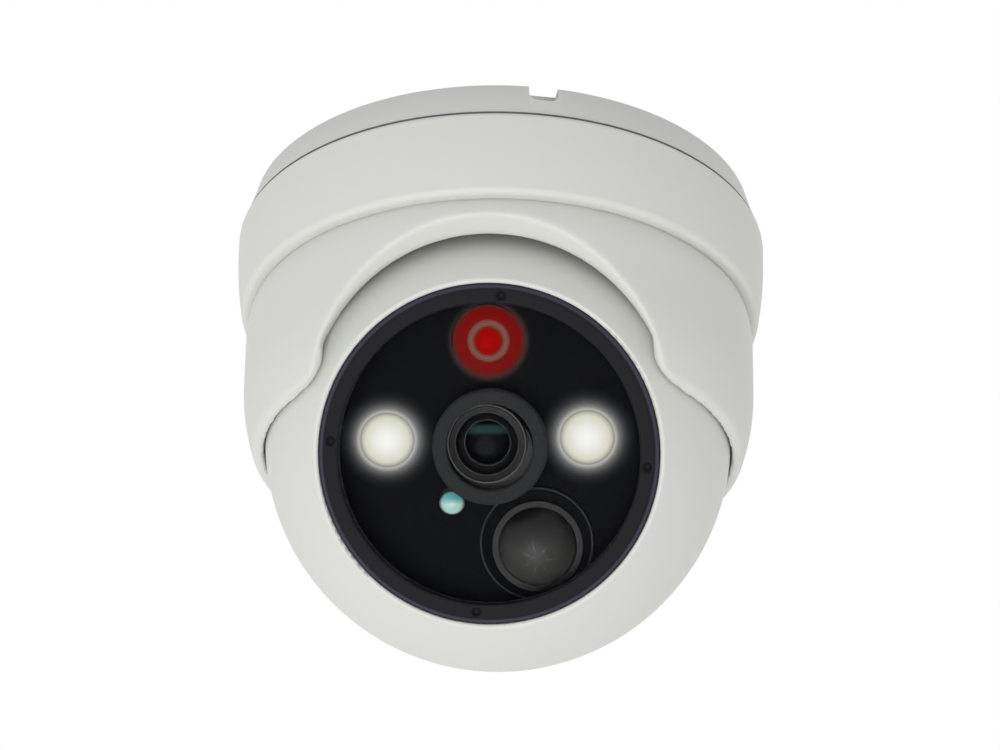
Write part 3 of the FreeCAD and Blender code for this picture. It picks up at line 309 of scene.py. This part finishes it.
def face_distance(material, places):
    """Distance in millimetres from the nearest of some axes that stand on the camera's face."""
    here = object_place(material)
    nearest = None
    for across, up in places:
        arm = vector_math(material, "SUBTRACT", here, FACE @ Vector((across, up, 0)))
        side = vector_math(material, "CROSS_PRODUCT", arm, OUTWARD)
        away = vector_math(material, "LENGTH", side)
        nearest = away if nearest is None else number_math(material, "MINIMUM", nearest, away)
    return number_math(material, "MULTIPLY", nearest, 1 / MM)


def face_reach(material, place, direction):
    """How far a point lies along a direction, from a place on the camera's face."""
    arm = vector_math(material, "SUBTRACT", object_place(material), FACE @ Vector((*place, 0)))
    return vector_math(material, "DOT_PRODUCT", arm, direction)


def face_height(material, up, half):
    """0 below and 1 above a line across the camera's face, soft over twice half."""
    return mapped(material, face_reach(material, (0, up), UPWARD), From_Min=-half, From_Max=half)


def ring_ramp(material, distance_mm, reach_mm, rings):
    """Colours that follow the distance: millimetres with a hex or linear colour, blended between."""
    place = mapped(material, distance_mm, From_Max=reach_mm)
    ramp = add_node(material, "ShaderNodeValToRGB", {"Fac": place})
    stops = ramp.color_ramp.elements
    while len(stops) < len(rings):
        stops.new(0.5)
    for stop, (away, tone) in zip(stops, rings):
        stop.position = away / reach_mm
        stop.color = (*(srgb(tone) if isinstance(tone, str) else tone), 1)
    return ramp.outputs["Color"]


def lit(name, places, reach_mm, rings, roughness=0.35):
    """A surface that glows in rings round an axis, and reflects little."""
    material = new_material(name)
    glow = ring_ramp(material, face_distance(material, places), reach_mm, rings)
    return close_material(material, {"Emission Color": glow}, Base_Color=(0.001, 0.001, 0.001, 1),
                          Emission_Strength=1.0, Roughness=roughness, Specular_IOR_Level=0.02)


def see_through(name, tint, alpha, roughness=0.03, specular=0.5):
    """A sheet or lens that shows what is behind it."""
    material = new_material(name)
    return close_material(material, {}, Base_Color=(*tint, 1), Alpha=alpha, Roughness=roughness,
                          Specular_IOR_Level=specular)


def hidden_finishes():
    """Materials for the parts inside, by the record's slot: what each is really made of."""
    return {
        "moulding": lambda: finish("abs_moulding_white", srgb("#D6D7D3"), 0.5),
        "black_plastic": lambda: finish("abs_moulding_black", srgb("#18191C"), 0.5),
        "rubber": lambda: finish("moulded_rubber", srgb("#1B1B1C"), 0.75, 0.6, 0.01),
        "foam": lambda: finish("closed_cell_foam", srgb("#2E2F31"), 0.9, 0.5, 0.02),
        "nylon": lambda: finish("natural_nylon", srgb("#E0DCCB"), 0.4),
        "steel": lambda: finish("zinc_plated_steel", srgb("#B9BABD"), 0.3, 0.15, 0.002, Metallic=1.0),
        "zinc": lambda: finish("die_cast_zinc", srgb("#A9ABAE"), 0.4, 0.4, 0.004, Metallic=1.0),
        "brass": lambda: finish("turned_brass", srgb("#C9A45A"), 0.3, 0.15, 0.002, Metallic=1.0),
        "board": lambda: finish("green_circuit_board", srgb("#1F6B3C"), 0.35, 0.3, 0.003),
        "black_board": lambda: finish("black_circuit_board", srgb("#101114"), 0.4, 0.3, 0.003),
        "chip": lambda: finish("epoxy_chip", srgb("#1A1A1C"), 0.6, 0.2, 0.004),
        "copper": lambda: finish("enamelled_copper", srgb("#A5582C"), 0.3, 0.2, 0.01, Metallic=1.0),
        "magnet": lambda: finish("nickel_plated_magnet", srgb("#C3C3C4"), 0.25, 0.2, 0.002, Metallic=1.0),
        "connector": lambda: finish("ivory_nylon_connector", srgb("#E6E1D2"), 0.45),
        "white_led": lambda: finish("phosphor_chip", srgb("#E8DC86"), 0.6, 0.2, 0.003),
        "cut_filter": lambda: see_through("infrared_cut_glass", srgb("#A58A92"), 0.5),
        "clear_lens": lambda: see_through("clear_glass", srgb("#F2F4F2"), 0.3),
        "optic": lambda: see_through("coated_optical_glass", srgb("#2C4646"), 0.6),
        "lens_body": lambda: finish("black_anodised_aluminium", srgb("#1B1B1D"), 0.4, 0.2, 0.002,
                                    Metallic=0.3),
        "window": lambda: see_through("tempered_window_glass", srgb("#050608"), 0.06, 0.02, 0.08),
    }


# Modelling


def start_fresh():
    """Leave edit mode with nothing selected, so an operator acts only on the piece it makes."""
    if bpy.context.object and bpy.context.object.mode != "OBJECT":
        bpy.ops.object.mode_set(mode="OBJECT")
    bpy.ops.object.select_all(action="DESELECT")


def arc(middle_radius, middle_height, radius, start_deg, end_deg, steps):
    """Points of a rounded stretch of a profile, from one angle to another."""
    points = []
    for step in range(steps + 1):
        angle = math.radians(start_deg + (end_deg - start_deg) * step / steps)
        points.append((middle_radius + radius * math.cos(angle), middle_height + radius * math.sin(angle)))
    return points


def dome_profile(base_radius, base_height, top_height, steps=10):
    """A shallow dome from its rim to its middle, part of a sphere."""
    rise = top_height - base_height
    radius = (base_radius ** 2 + rise ** 2) / (2 * rise)
    edge_deg = math.degrees(math.asin(min(base_radius / radius, 1)))
    if rise > radius:
        edge_deg = 180 - edge_deg
    return arc(0, top_height - radius, radius, 90 - edge_deg, 90, steps)


def turned(name, profile, segments=SEGMENTS):
    """Draw a circle and pull it up a profile of (radius, height) points, as on a lathe."""
    start_fresh()
    radius, height = profile[0]
    bpy.ops.mesh.primitive_circle_add(vertices=segments, radius=radius, location=(0, 0, 0))
    piece = bpy.context.object
    piece.name = name
    bpy.ops.object.mode_set(mode="EDIT")
    bpy.ops.mesh.select_all(action="SELECT")
    bpy.ops.transform.translate(value=(0, 0, height))
    for next_radius, next_height in profile[1:]:
        bpy.ops.mesh.extrude_region_move(TRANSFORM_OT_translate={"value": (0, 0, next_height - height)})
        if next_radius < 2 * CLOSE:
            bpy.ops.mesh.merge(type="CENTER")
            break
        scale = next_radius / radius
        bpy.ops.transform.resize(value=(scale, scale, 1), center_override=(0, 0, next_height))
        radius, height = next_radius, next_height
    bpy.ops.mesh.select_all(action="SELECT")
    bpy.ops.mesh.remove_doubles(threshold=CLOSE)
    bpy.ops.mesh.normals_make_consistent(inside=False)
    bpy.ops.object.mode_set(mode="OBJECT")
    bpy.ops.object.shade_smooth_by_angle(angle=TURNED_CREASE)
    return piece


def put_on_face(piece, place):
    """Move a piece that was made upright on to the camera's face, its place in its mesh."""
    piece.data.transform(FACE @ Matrix.Translation((place[0], place[1], 0)) @ piece.matrix_basis)
    piece.matrix_basis = Matrix.Identity(4)
    piece.data.update()


def apply_modifier(piece, kind, **settings):
    """Add one modifier to a piece and apply it."""
    start_fresh()
    piece.select_set(True)
    bpy.context.view_layer.objects.active = piece
    added = piece.modifiers.new(kind.title(), kind)
    for name, value in settings.items():
        setattr(added, name, value)
    bpy.ops.object.modifier_apply(modifier=added.name)


def joined(name, pieces):
    """Several pieces as one object."""
    start_fresh()
    for piece in pieces:
        piece.select_set(True)
    bpy.context.view_layer.objects.active = pieces[0]
    bpy.ops.object.join()
    pieces[0].name = name
    return pieces[0]


def smooth_copy(node, name, weighted=True):
    """The CAD node's own shape, its triangles joined and its curves shaded smooth."""
    start_fresh()
    source = frame["nodes"][node]
    piece = bpy.data.objects.new(name, source.data.copy())
    bpy.context.scene.collection.objects.link(piece)
    piece.select_set(True)
    bpy.context.view_layer.objects.active = piece
    bpy.ops.object.mode_set(mode="EDIT")
    bpy.ops.mesh.select_all(action="SELECT")
    bpy.ops.mesh.remove_doubles(threshold=CLOSE)
    bpy.ops.object.mode_set(mode="OBJECT")
    bpy.ops.object.shade_smooth_by_angle(angle=COPIED_CREASE)
    if weighted:
        apply_modifier(piece, "WEIGHTED_NORMAL", keep_sharp=True, mode="FACE_AREA_WITH_ANGLE")
    return piece


def softened_copy(node, name, voxel):
    """The CAD node's own shape with its edges rounded over about two voxels, as a coat rounds them."""
    piece = smooth_copy(node, name)
    apply_modifier(piece, "REMESH", mode="VOXEL", voxel_size=voxel, use_smooth_shade=True)
    apply_modifier(piece, "SMOOTH", factor=0.5, iterations=8)
    return piece


SLOT_OF = {part["node"]: part["material_slot"] for part in frame["record"]["subparts"]}
BODY_OF = {node: body for body, nodes in frame["record"]["behaviour"]["bodies"].items() for node in nodes}


def dress(piece, material, node):
    """Give a piece its material, and let it move with a CAD node's body."""
    piece.data.materials.clear()
    piece.data.materials.append(material)
    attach(piece, BODY_OF[node])


def stand_for(piece, material, *nodes):
    """Dress a piece, and let it stand for CAD nodes."""
    dress(piece, material, nodes[0])
    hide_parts(*nodes)


# Pieces


def make_shells(sizes):
    """The cover, the turret ring, the two halves of the ball and the base."""
    # Polyester powder coat over cast metal: matt, warm light grey, a faint orange peel, soft edges
    coat = finish("polyester_powder_coat", sizes.coat, 0.5, sizes.grain / MM, 0.0035, 0.012)
    # Injection moulded ABS with a spark eroded grain, a touch duller than the coat
    moulding = finish("abs_spark_eroded", sizes.moulding, 0.55, 0.35, 0.003, 0.012)
    for node, name in (("cover_shell", "coated_cover"), ("ball_front_shell", "coated_ball_front"),
                       ("ball_rear_shell", "coated_ball_rear")):
        stand_for(smooth_copy(node, name), coat, node)
    stand_for(softened_copy("turret_ring", "coated_turret", sizes.voxel), coat, "turret_ring")
    stand_for(smooth_copy("base_plate", "moulded_base", weighted=False), moulding, "base_plate")
    make_rim(sizes, moulding)
    make_seam(sizes)


def make_rim(sizes, moulding):
    """The base's tapered rim, turned, with the lead's notch cut through it."""
    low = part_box("cover_shell")[1].z
    wall, edge = 0.9 * MM, 0.2 * MM
    upper, lower = sizes.rim_top_radius, sizes.rim_radius
    rim = turned("moulded_rim", [(upper - wall, 0), (upper - edge, 0), (upper, -edge), (lower, low),
                                 (lower - wall, low), (upper - wall, 0)], RIM_SEGMENTS)
    start_fresh()
    place = Vector((math.sin(sizes.notch_turn), -math.cos(sizes.notch_turn), 0)) * upper
    bpy.ops.mesh.primitive_cube_add(size=1, location=place, rotation=(0, 0, sizes.notch_turn))
    cutter = bpy.context.object
    cutter.scale = (sizes.notch_width, 12 * MM, 2 * sizes.notch_depth)
    bpy.ops.object.transform_apply(location=False, rotation=False, scale=True)
    apply_modifier(cutter, "BEVEL", width=sizes.notch_round, segments=6, limit_method="NONE")
    apply_modifier(rim, "BOOLEAN", object=cutter, operation="DIFFERENCE", solver="EXACT")
    bpy.data.objects.remove(cutter)
    bpy.ops.object.shade_smooth_by_angle(angle=TURNED_CREASE)
    dress(rim, moulding, "base_plate")


def make_seam(sizes):
    """The dark line of the seal between the base and the cover."""
    top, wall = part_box("cover_shell")[1].z, sizes.seam_radius
    inner, under, over = wall - 0.6 * MM, top - 0.2 * MM, top + 0.16 * MM
    seam = turned("seam_line", [(inner, under), (wall, under), (wall, top + 0.08 * MM),
                                (wall - 0.15 * MM, over), (inner, over), (inner, under)])
    dress(seam, finish("moulded_seal", srgb("#5C5C62"), 0.8), "seal_ring")


def ring_material(sizes):
    """Anodised aluminium: satin near black, with a violet cast where the chamfer's anodising is thin."""
    material = new_material("dark_anodised_aluminium")
    # Lighter violet at the outer chamfer: painted sheen
    tone = ring_ramp(material, face_distance(material, [(0, 0)]), 32.0, [
        (26.9, sizes.ring_bore), (27.4, sizes.ring), (28.6, sizes.ring), (29.4, sizes.ring),
        (29.75, sizes.chamfer_sheen), (30.4, sizes.chamfer_sheen)])
    _, normal = grained(material, 0.25 * MM, 0.003 * MM)
    return close_material(material, {"Base Color": tone, "Normal": normal}, Roughness=0.5,
                          Specular_IOR_Level=0.08)


def mask_material(sizes):
    """Black ABS plate with a satin face, lit softly by the lamps that stand in it."""
    material = new_material("black_abs_mask")
    white = bpy.context.scene.dome_white_lamps
    red = bpy.context.scene.dome_red_lamp
    # Painted light: a white glow round each white lamp and a red glow round the red lamp's window
    painted_lamp_halo = ring_ramp(material, face_distance(material, [white.left, white.right]), 9.0,
                     [(5.7, "#767675"), (6.0, "#646464"), (6.55, "#444445"), (7.1, "#2B2C2D"),
                      (7.8, "#141517"), (8.8, "#000000")])
    painted_red_spill = ring_ramp(material, face_distance(material, [red.place]), 9.0,
                      [(6.4, "#4F2622"), (6.7, "#362422"), (7.1, "#201A19"), (7.5, "#060404"),
                       (7.9, "#000000")])
    glow = vector_math(material, "ADD", painted_lamp_halo, painted_red_spill)
    _, normal = grained(material, 0.4 * MM, 0.003 * MM)
    return close_material(material, {"Emission Color": glow, "Normal": normal},
                          Base_Color=(*sizes.mask, 1), Roughness=0.6, Specular_IOR_Level=0.06,
                          Emission_Strength=1.0)


def make_window(sizes):
    """The window's ring, the black plate and the glass over it."""
    ring = softened_copy("bezel_ring", "window_ring", sizes.ring_voxel)
    stand_for(ring, ring_material(sizes), "bezel_ring")
    stand_for(smooth_copy("mask_plate", "window_mask"), mask_material(sizes), "mask_plate")
    # Tempered glass with an anti-reflection coat: all but invisible over the black plate
    glass = see_through("tempered_window_glass", srgb("#050608"), 0.04, 0.02, 0.04)
    stand_for(smooth_copy("front_glass", "window_glass"), glass, "front_glass")


def make_white_lamps(sizes):
    """Two clear domes on flat rims, lit."""
    low, top = sizes.bottom, sizes.top
    rim, dome = sizes.flange_radius, sizes.dome_radius
    profile = [(rim, low), (rim, low + 0.45 * MM), (rim - 0.12 * MM, low + 0.6 * MM),
               (dome + 0.45 * MM, low + 0.6 * MM), (dome + 0.3 * MM, low + 0.45 * MM),
               (dome, low + 0.5 * MM)]
    profile += dome_profile(dome, low + 0.55 * MM, top)
    first = turned("white_lamp", profile)
    second = first.copy()
    second.data = first.data.copy()
    bpy.context.scene.collection.objects.link(second)
    put_on_face(first, sizes.left)
    put_on_face(second, sizes.right)
    lamps = joined("white_lamps", [first, second])
    # Clear acrylic dome over a phosphor chip: a white core, cream towards its edge, a pale rim
    glow = lit("lit_acrylic_dome", [sizes.left, sizes.right], 6.0,
               [(0.0, "#FFFFFB"), (1.2, "#FAFAF5"), (2.2, "#F1F1EB"), (3.1, "#E6E7D9"), (3.9, "#DDDDCB"),
                (4.4, "#C2C2B2"), (4.75, "#969690"), (5.1, "#B8B8B1"), (5.35, "#9A9A95"), (5.75, "#727270")])
    stand_for(lamps, glow, "white_led_lenses")


def make_red_lamp(sizes):
    """A red dome in a metal cap, in a round red window."""
    place = sizes.place
    low = bpy.context.scene.dome_white_lamps.bottom
    # Red epoxy dome, lit from inside
    dome = turned("red_lamp_dome", [(sizes.dome_radius, low)]
                  + dome_profile(sizes.dome_radius, low + 0.8 * MM, sizes.top))
    put_on_face(dome, place)
    stand_for(dome, lit("lit_red_epoxy", [place], 2.6, [
        (0.0, "#A60200"), (1.5, "#A00300"), (2.1, "#960C08"), (2.5, "#801C16")]), "red_led")
    # Turned metal cap with two fine beads, pink grey: the red lamp's light painted on it as glow, with
    # painted highlights on the beads
    cap_low, cap_top = low - 0.2 * MM, low + 0.6 * MM
    inner, outer = sizes.dome_radius, sizes.cap_radius
    cap = turned("red_lamp_cap", [
        (inner, cap_low), (inner, cap_top - 0.2 * MM), (inner + 0.12 * MM, cap_top),
        (inner + 0.36 * MM, cap_top), (inner + 0.5 * MM, cap_top - 0.18 * MM),
        (outer - 0.42 * MM, cap_top - 0.18 * MM), (outer - 0.3 * MM, cap_top),
        (outer - 0.1 * MM, cap_top), (outer, cap_top - 0.15 * MM), (outer, cap_low)])
    put_on_face(cap, place)
    stand_for(cap, lit("brushed_cap_painted_red_light", [place], 4.0, [
        (2.5, "#7A332B"), (2.8, "#6E4A40"), (3.1, "#7C5A4F"), (3.3, "#735045"), (3.55, "#7C4A3E"),
        (3.8, "#7A2A22")], 0.4), "red_led_ring")
    # Flat window of dark red acrylic, with the red lamp's light painted on it as glow, brightest in its
    # middle
    window_top = low + 0.12 * MM
    pane = turned("red_lamp_window", [
        (outer, low), (outer, window_top), (sizes.window_radius - 0.2 * MM, window_top),
        (sizes.window_radius, low)])
    put_on_face(pane, place)
    stand_for(pane, lit("dark_red_acrylic_painted_glow", [place], 6.6, [
        (3.8, "#701410"), (4.2, "#740A05"), (4.8, "#7A0603"), (5.3, "#7A0805"), (5.8, "#6C120F"),
        (6.1, "#5C201C"), (6.45, "#4A2622")], 0.3), "red_window")


def make_lens(sizes):
    """The foam ring, the stepped barrel and the coated front glass."""
    place = sizes.place
    # Closed cell foam, cut as a ring: dark grey, dull, open skin
    back, face = PLATE + 0.05 * MM, 26.7 * MM
    bore, outside = sizes.foam_bore, sizes.foam_radius
    foam = turned("foam_ring", [
        (bore, back), (bore, face - 0.3 * MM), (bore + 0.25 * MM, face),
        (outside - 0.35 * MM, face), (outside, face - 0.4 * MM), (outside, back), (bore, back)])
    put_on_face(foam, sizes.foam_place)
    stand_for(foam, finish("closed_cell_foam_ring", sizes.foam, 0.9, 0.35, 0.02, 0.25,
                           Specular_IOR_Level=0.2), "lens_light_shield")
    # Black anodised barrel: steps turned into its mouth, each with a fine painted highlight on its edge
    head, glass = sizes.head_radius, sizes.glass_radius
    steps = [(head + 2 * MM, 20 * MM), (head + 2 * MM, 22.3 * MM), (head, 22.4 * MM),
             (head, 25.3 * MM), (head - 0.15 * MM, 25.5 * MM), (head - 0.4 * MM, 25.5 * MM),
             (head - 0.55 * MM, 25.2 * MM), (head - 1.4 * MM, 25.0 * MM), (head - 1.45 * MM, 25.15 * MM),
             (head - 1.6 * MM, 25.15 * MM), (head - 1.7 * MM, 24.2 * MM), (glass + 1.0 * MM, 23.4 * MM),
             (glass + 0.3 * MM, 22.9 * MM), (glass + 0.25 * MM, 23.05 * MM),
             (glass + 0.1 * MM, 23.05 * MM), (glass, 22.7 * MM), (glass, 14 * MM)]
    barrel = turned("lens_barrel_turned", steps)
    put_on_face(barrel, place)
    anodised = new_material("black_anodised_barrel")
    # Painted highlights: thin lighter rings at the glass's edge and at the steps' edges
    rings = ring_ramp(anodised, face_distance(anodised, [place]), 8.0, [
        (3.9, "#3C3C3E"), (4.15, "#111113"), (5.5, "#111113"), (5.62, "#303032"), (5.74, "#121214"),
        (6.8, "#151517"), (6.95, "#565654"), (7.15, "#464646")])
    _, normal = grained(anodised, 0.2 * MM, 0.002 * MM)
    close_material(anodised, {"Base Color": rings, "Normal": normal}, Roughness=0.32,
                   Specular_IOR_Level=0.2)
    stand_for(barrel, anodised, "lens_barrel")
    # Coated front glass: black, with a painted teal reflection of the coating in a band near its top
    front = turned("lens_front_glass", [(glass, 21.2 * MM)] + dome_profile(glass, 21.6 * MM, 22.5 * MM))
    put_on_face(front, place)
    material = new_material("coated_front_glass")
    high = face_height(material, place[1] + 1.6 * MM, 0.4 * MM)
    top = face_height(material, place[1] + 3.0 * MM, 0.35 * MM)
    painted_reflection_band = number_math(material, "SUBTRACT", high, top)
    tone = blended(material, painted_reflection_band, srgb("#0C0D0F"), sizes.tint)
    close_material(material, {"Base Color": tone}, Roughness=0.04, Specular_IOR_Level=0.04)
    stand_for(front, material, "lens_glasses")


def make_light_sensor(sizes):
    """A low oval cell in clear resin."""
    place, radius = sizes.light_place, sizes.light_radius
    body = turned("light_sensor", [(radius + 0.25 * MM, 22.4 * MM), (radius + 0.2 * MM, 22.55 * MM),
                                   (radius, 22.6 * MM)] + dome_profile(radius, 22.6 * MM, 23.2 * MM))
    body.scale.y = 0.88
    put_on_face(body, place)
    # Clear resin over a teal cell, with painted shade: deeper at the top, paler below, and a painted shadow
    # round its rim
    material = new_material("teal_resin")
    # Painted shade: darker in the upper half
    high = face_height(material, place[1] + 0.35 * MM, 0.5 * MM)
    # Painted shadow round the rim
    rim = ring_ramp(material, face_distance(material, [place]), 2.6,
                    [(1.75, "#FFFFFF"), (2.1, "#8C8C8C"), (2.3, "#202426")])
    tone = blended(material, high, sizes.resin_in_painted_light, sizes.resin_in_painted_shade)
    shade = vector_math(material, "MULTIPLY", tone, rim)
    close_material(material, {"Base Color": shade}, Roughness=0.15)
    stand_for(body, material, "photocell")


def dome_material(sizes):
    """Smoked polyethylene: paler towards its bottom, with the moulded spokes showing faintly."""
    place = sizes.motion_place
    hub = (place[0], place[1] - 2.0 * MM)
    material = new_material("smoked_polyethylene")
    # Painted reflection: paler towards the bottom, where the brighter light from below shows in the dome
    smoke_and_reflection = blended(material, face_height(material, place[1] + 0.3 * MM, 4.5 * MM),
                    sizes.dome_low_painted_reflection, sizes.dome_top)
    # Seven spokes through the hub, and a ring round it, that fade outwards: painted highlights on the moulded
    # creases
    across, up = (face_reach(material, hub, direction) for direction in (ACROSS, UPWARD))
    turn = number_math(material, "ARCTAN2", up, across)
    wave = number_math(material, "SINE", number_math(material, "MULTIPLY", turn, SPOKES / 2))
    line = mapped(material, number_math(material, "ABSOLUTE", wave), From_Max=0.16, To_Min=1.0, To_Max=0.0)
    fade = ring_ramp(material, face_distance(material, [hub]), 8.0, [
        (away, (grey, grey, grey)) for away, grey in
        ((0.64, 0.25), (1.36, 0.0), (1.92, 0.55), (2.32, 0.12), (4.0, 0.0))])
    spoke_highlighted = blended(material, number_math(material, "MULTIPLY", line, fade), smoke_and_reflection, srgb("#A0A09A"))
    rim = mapped(material, face_distance(material, [place]), From_Min=6.6, From_Max=7.0)
    marked = blended(material, rim, spoke_highlighted, srgb("#0B0B0D"))
    _, normal = grained(material, 0.3 * MM, 0.003 * MM)
    return close_material(material, {"Base Color": marked, "Normal": normal}, Roughness=0.3,
                          Specular_IOR_Level=0.2)


def make_motion_sensor(sizes):
    """The motion sensor's smoky dome on its flat skirt, and the bead round its recess."""
    place, radius = sizes.motion_place, sizes.motion_radius
    low, top = PLATE + 0.1 * MM, 26.1 * MM
    skirt = [(radius + 1.1 * MM, low - 0.06 * MM), (radius + 0.05 * MM, low - 0.02 * MM),
             (radius, low + 0.1 * MM)]
    dome = turned("motion_sensor_dome",
                  skirt + dome_profile(radius - 0.05 * MM, low + 0.4 * MM, top, 14))
    put_on_face(dome, place)
    stand_for(dome, dome_material(sizes), "pir_lens")
    # Thin bright bead round the recess in the plate
    ring, foot, crown = sizes.recess_radius, PLATE - 0.2 * MM, PLATE + 0.12 * MM
    bead = turned("motion_sensor_bead", [
        (ring - 0.25 * MM, foot), (ring - 0.12 * MM, crown), (ring + 0.1 * MM, crown),
        (ring + 0.25 * MM, foot)])
    put_on_face(bead, sizes.recess_place)
    dress(bead, finish("abs_bead", srgb("#1C1D21"), 0.35, 0.3, 0.002, Specular_IOR_Level=0.2), "mask_plate")


def finish_insides():
    """Give every CAD node the material of its slot, for the nodes that stay as they are."""
    made = {}
    makers = hidden_finishes()
    for node, thing in frame["nodes"].items():
        kind = SLOT_OF[node]
        if kind not in made:
            made[kind] = makers.get(kind, makers["black_plastic"])()
        thing.data.materials.clear()
        thing.data.materials.append(made[kind])


# Stage


def make_camera(sizes):
    """The photograph's viewpoint: below the ceiling, a little to one side."""
    aim = Vector((0.185, 0, -34.0)) * MM
    target = Vector((0, 0, -45)) * MM
    turn = Matrix.Rotation(sizes.turn, 3, "Z")
    back = Vector((0, math.cos(sizes.low), math.sin(sizes.low))) * sizes.distance
    place = target - turn @ back
    forward = (turn @ aim - place).normalized()
    right = forward.cross(Vector((0, 0, 1))).normalized()
    up = right.cross(forward)
    rolled_right = right * math.cos(sizes.roll) + up * math.sin(sizes.roll)
    rolled_up = up * math.cos(sizes.roll) - right * math.sin(sizes.roll)
    bpy.ops.object.camera_add(location=place)
    camera = bpy.context.object
    camera.name = "photo_camera"
    camera.data.sensor_width = 36
    camera.data.lens = sizes.lens
    basis = Matrix((rolled_right, rolled_up, -forward)).transposed()
    camera.matrix_world = Matrix.Translation(place) @ basis.to_4x4()
    bpy.context.scene.camera = camera


def seen_white(owner, others, white):
    """The white shader to the camera, to gloss and through glass; the other to all other rays."""
    rays = add_node(owner, "ShaderNodeLightPath").outputs
    seen = rays["Is Camera Ray"]
    for kind in ("Is Glossy Ray", "Is Transmission Ray"):
        seen = number_math(owner, "MAXIMUM", seen, rays[kind])
    mix = add_node(owner, "ShaderNodeMixShader", {0: seen, 1: others.outputs[0], 2: white.outputs[0]})
    return mix.outputs[0]


def make_world(sizes):
    """Soft light from all round: dimmest from the front, brightest from below."""
    world = bpy.data.worlds.new("studio")
    bpy.context.scene.world = world
    world.use_nodes = True
    world.node_tree.nodes.clear()
    direction = add_node(world, "ShaderNodeTexCoord").outputs["Generated"]
    lean = vector_math(world, "DOT_PRODUCT", direction, LIGHT_LEAN)
    soft = add_node(world, "ShaderNodeBackground", {"Strength": number_math(world, "ADD", lean, sizes.level)},
                    Color=WHITE)
    white = add_node(world, "ShaderNodeBackground", Color=WHITE, Strength=1.0)
    add_node(world, "ShaderNodeOutputWorld", {"Surface": seen_white(world, soft, white)})


def make_lamp(sizes):
    """A broad soft lamp below and in front, out of the camera's view."""
    start_fresh()
    bpy.ops.object.light_add(type="AREA", location=LAMP_PLACE)
    lamp = bpy.context.object
    lamp.name = "low_softbox"
    lamp.data.shape = "DISK"
    lamp.data.size = LAMP_WIDTH
    lamp.data.energy = sizes.lamp
    lamp.rotation_euler = (BALL_CENTRE - LAMP_PLACE).to_track_quat("-Z", "Y").to_euler()


def make_floor(sizes):
    """A pale floor far below the object, white where it is seen."""
    start_fresh()
    bpy.ops.mesh.primitive_plane_add(size=FLOOR_WIDTH, location=(0, 0, FLOOR_LEVEL))
    floor = bpy.context.object
    floor.name = "floor"
    material = new_material("pale_floor")
    matt = add_node(material, "ShaderNodeBsdfDiffuse", Color=(*sizes.floor, 1))
    glow = add_node(material, "ShaderNodeEmission", Color=WHITE, Strength=1.0)
    add_node(material, "ShaderNodeOutputMaterial", {"Surface": seen_white(material, matt, glow)})
    floor.data.materials.append(material)


# Operators


def operator(name, label, text, work):
    """A Blender operator that runs one piece of work."""
    def execute(self, context):
        work(context.scene)
        return {"FINISHED"}
    return type("DOMECAM_OT_" + name, (bpy.types.Operator,), {
        "__doc__": text, "bl_idname": "dome_camera." + name, "bl_label": label, "execute": execute})


OPERATORS = [
    operator("insides", "Insides", "Give every CAD part a material for what it is made of",
             lambda scene: finish_insides()),
    operator("shells", "Shells", "Smooth and coat the white shells",
             lambda scene: make_shells(scene.dome_shells)),
    operator("window", "Window", "Finish the window's ring, plate and glass",
             lambda scene: make_window(scene.dome_window)),
    operator("white_lamps", "White lamps", "Model the two lit white lamps",
             lambda scene: make_white_lamps(scene.dome_white_lamps)),
    operator("red_lamp", "Red lamp", "Model the red lamp, its cap and its window",
             lambda scene: make_red_lamp(scene.dome_red_lamp)),
    operator("lens", "Lens", "Model the lens and its foam ring",
             lambda scene: make_lens(scene.dome_lens)),
    operator("light_sensor", "Light sensor", "Model the light sensor",
             lambda scene: make_light_sensor(scene.dome_sensors)),
    operator("motion_sensor", "Motion sensor", "Model the motion sensor's dome and recess",
             lambda scene: make_motion_sensor(scene.dome_sensors)),
    operator("camera", "Camera", "Stand the camera where the photograph was taken",
             lambda scene: make_camera(scene.dome_stage)),
    operator("stage", "Stage", "Make the soft light and the floor",
             lambda scene: (make_world(scene.dome_stage), make_lamp(scene.dome_stage),
                            make_floor(scene.dome_stage))),
]


class DOMECAM_PT_dresser(bpy.types.Panel):
    """The dresser's steps, in order."""
    bl_idname = "DOMECAM_PT_dresser"
    bl_label = "Dome camera"
    bl_space_type = "VIEW_3D"
    bl_region_type = "UI"
    bl_category = "Dome camera"

    def draw(self, context):
        for step in OPERATORS:
            self.layout.operator(step.bl_idname)


def register():
    """Add the settings, the steps and the panel to Blender."""
    for name, settings in SETTINGS.items():
        bpy.utils.register_class(settings)
        setattr(bpy.types.Scene, name, bpy.props.PointerProperty(type=settings))
    for step in OPERATORS:
        bpy.utils.register_class(step)
    bpy.utils.register_class(DOMECAM_PT_dresser)


def unregister():
    """Take them all away again."""
    bpy.utils.unregister_class(DOMECAM_PT_dresser)
    for step in reversed(OPERATORS):
        bpy.utils.unregister_class(step)
    for name, settings in SETTINGS.items():
        delattr(bpy.types.Scene, name)
        bpy.utils.unregister_class(settings)


def main():
    """Run every step, and note the size before and after."""
    register()
    bpy.ops.dome_camera.insides()
    bpy.ops.dome_camera.shells()
    bpy.ops.dome_camera.window()
    bpy.ops.dome_camera.white_lamps()
    bpy.ops.dome_camera.red_lamp()
    bpy.ops.dome_camera.lens()
    bpy.ops.dome_camera.light_sensor()
    bpy.ops.dome_camera.motion_sensor()
    bpy.ops.dome_camera.camera()
    bpy.ops.dome_camera.stage()
    bpy.context.scene.view_settings.view_transform = "Standard"


if __name__ == "__main__":
    main()
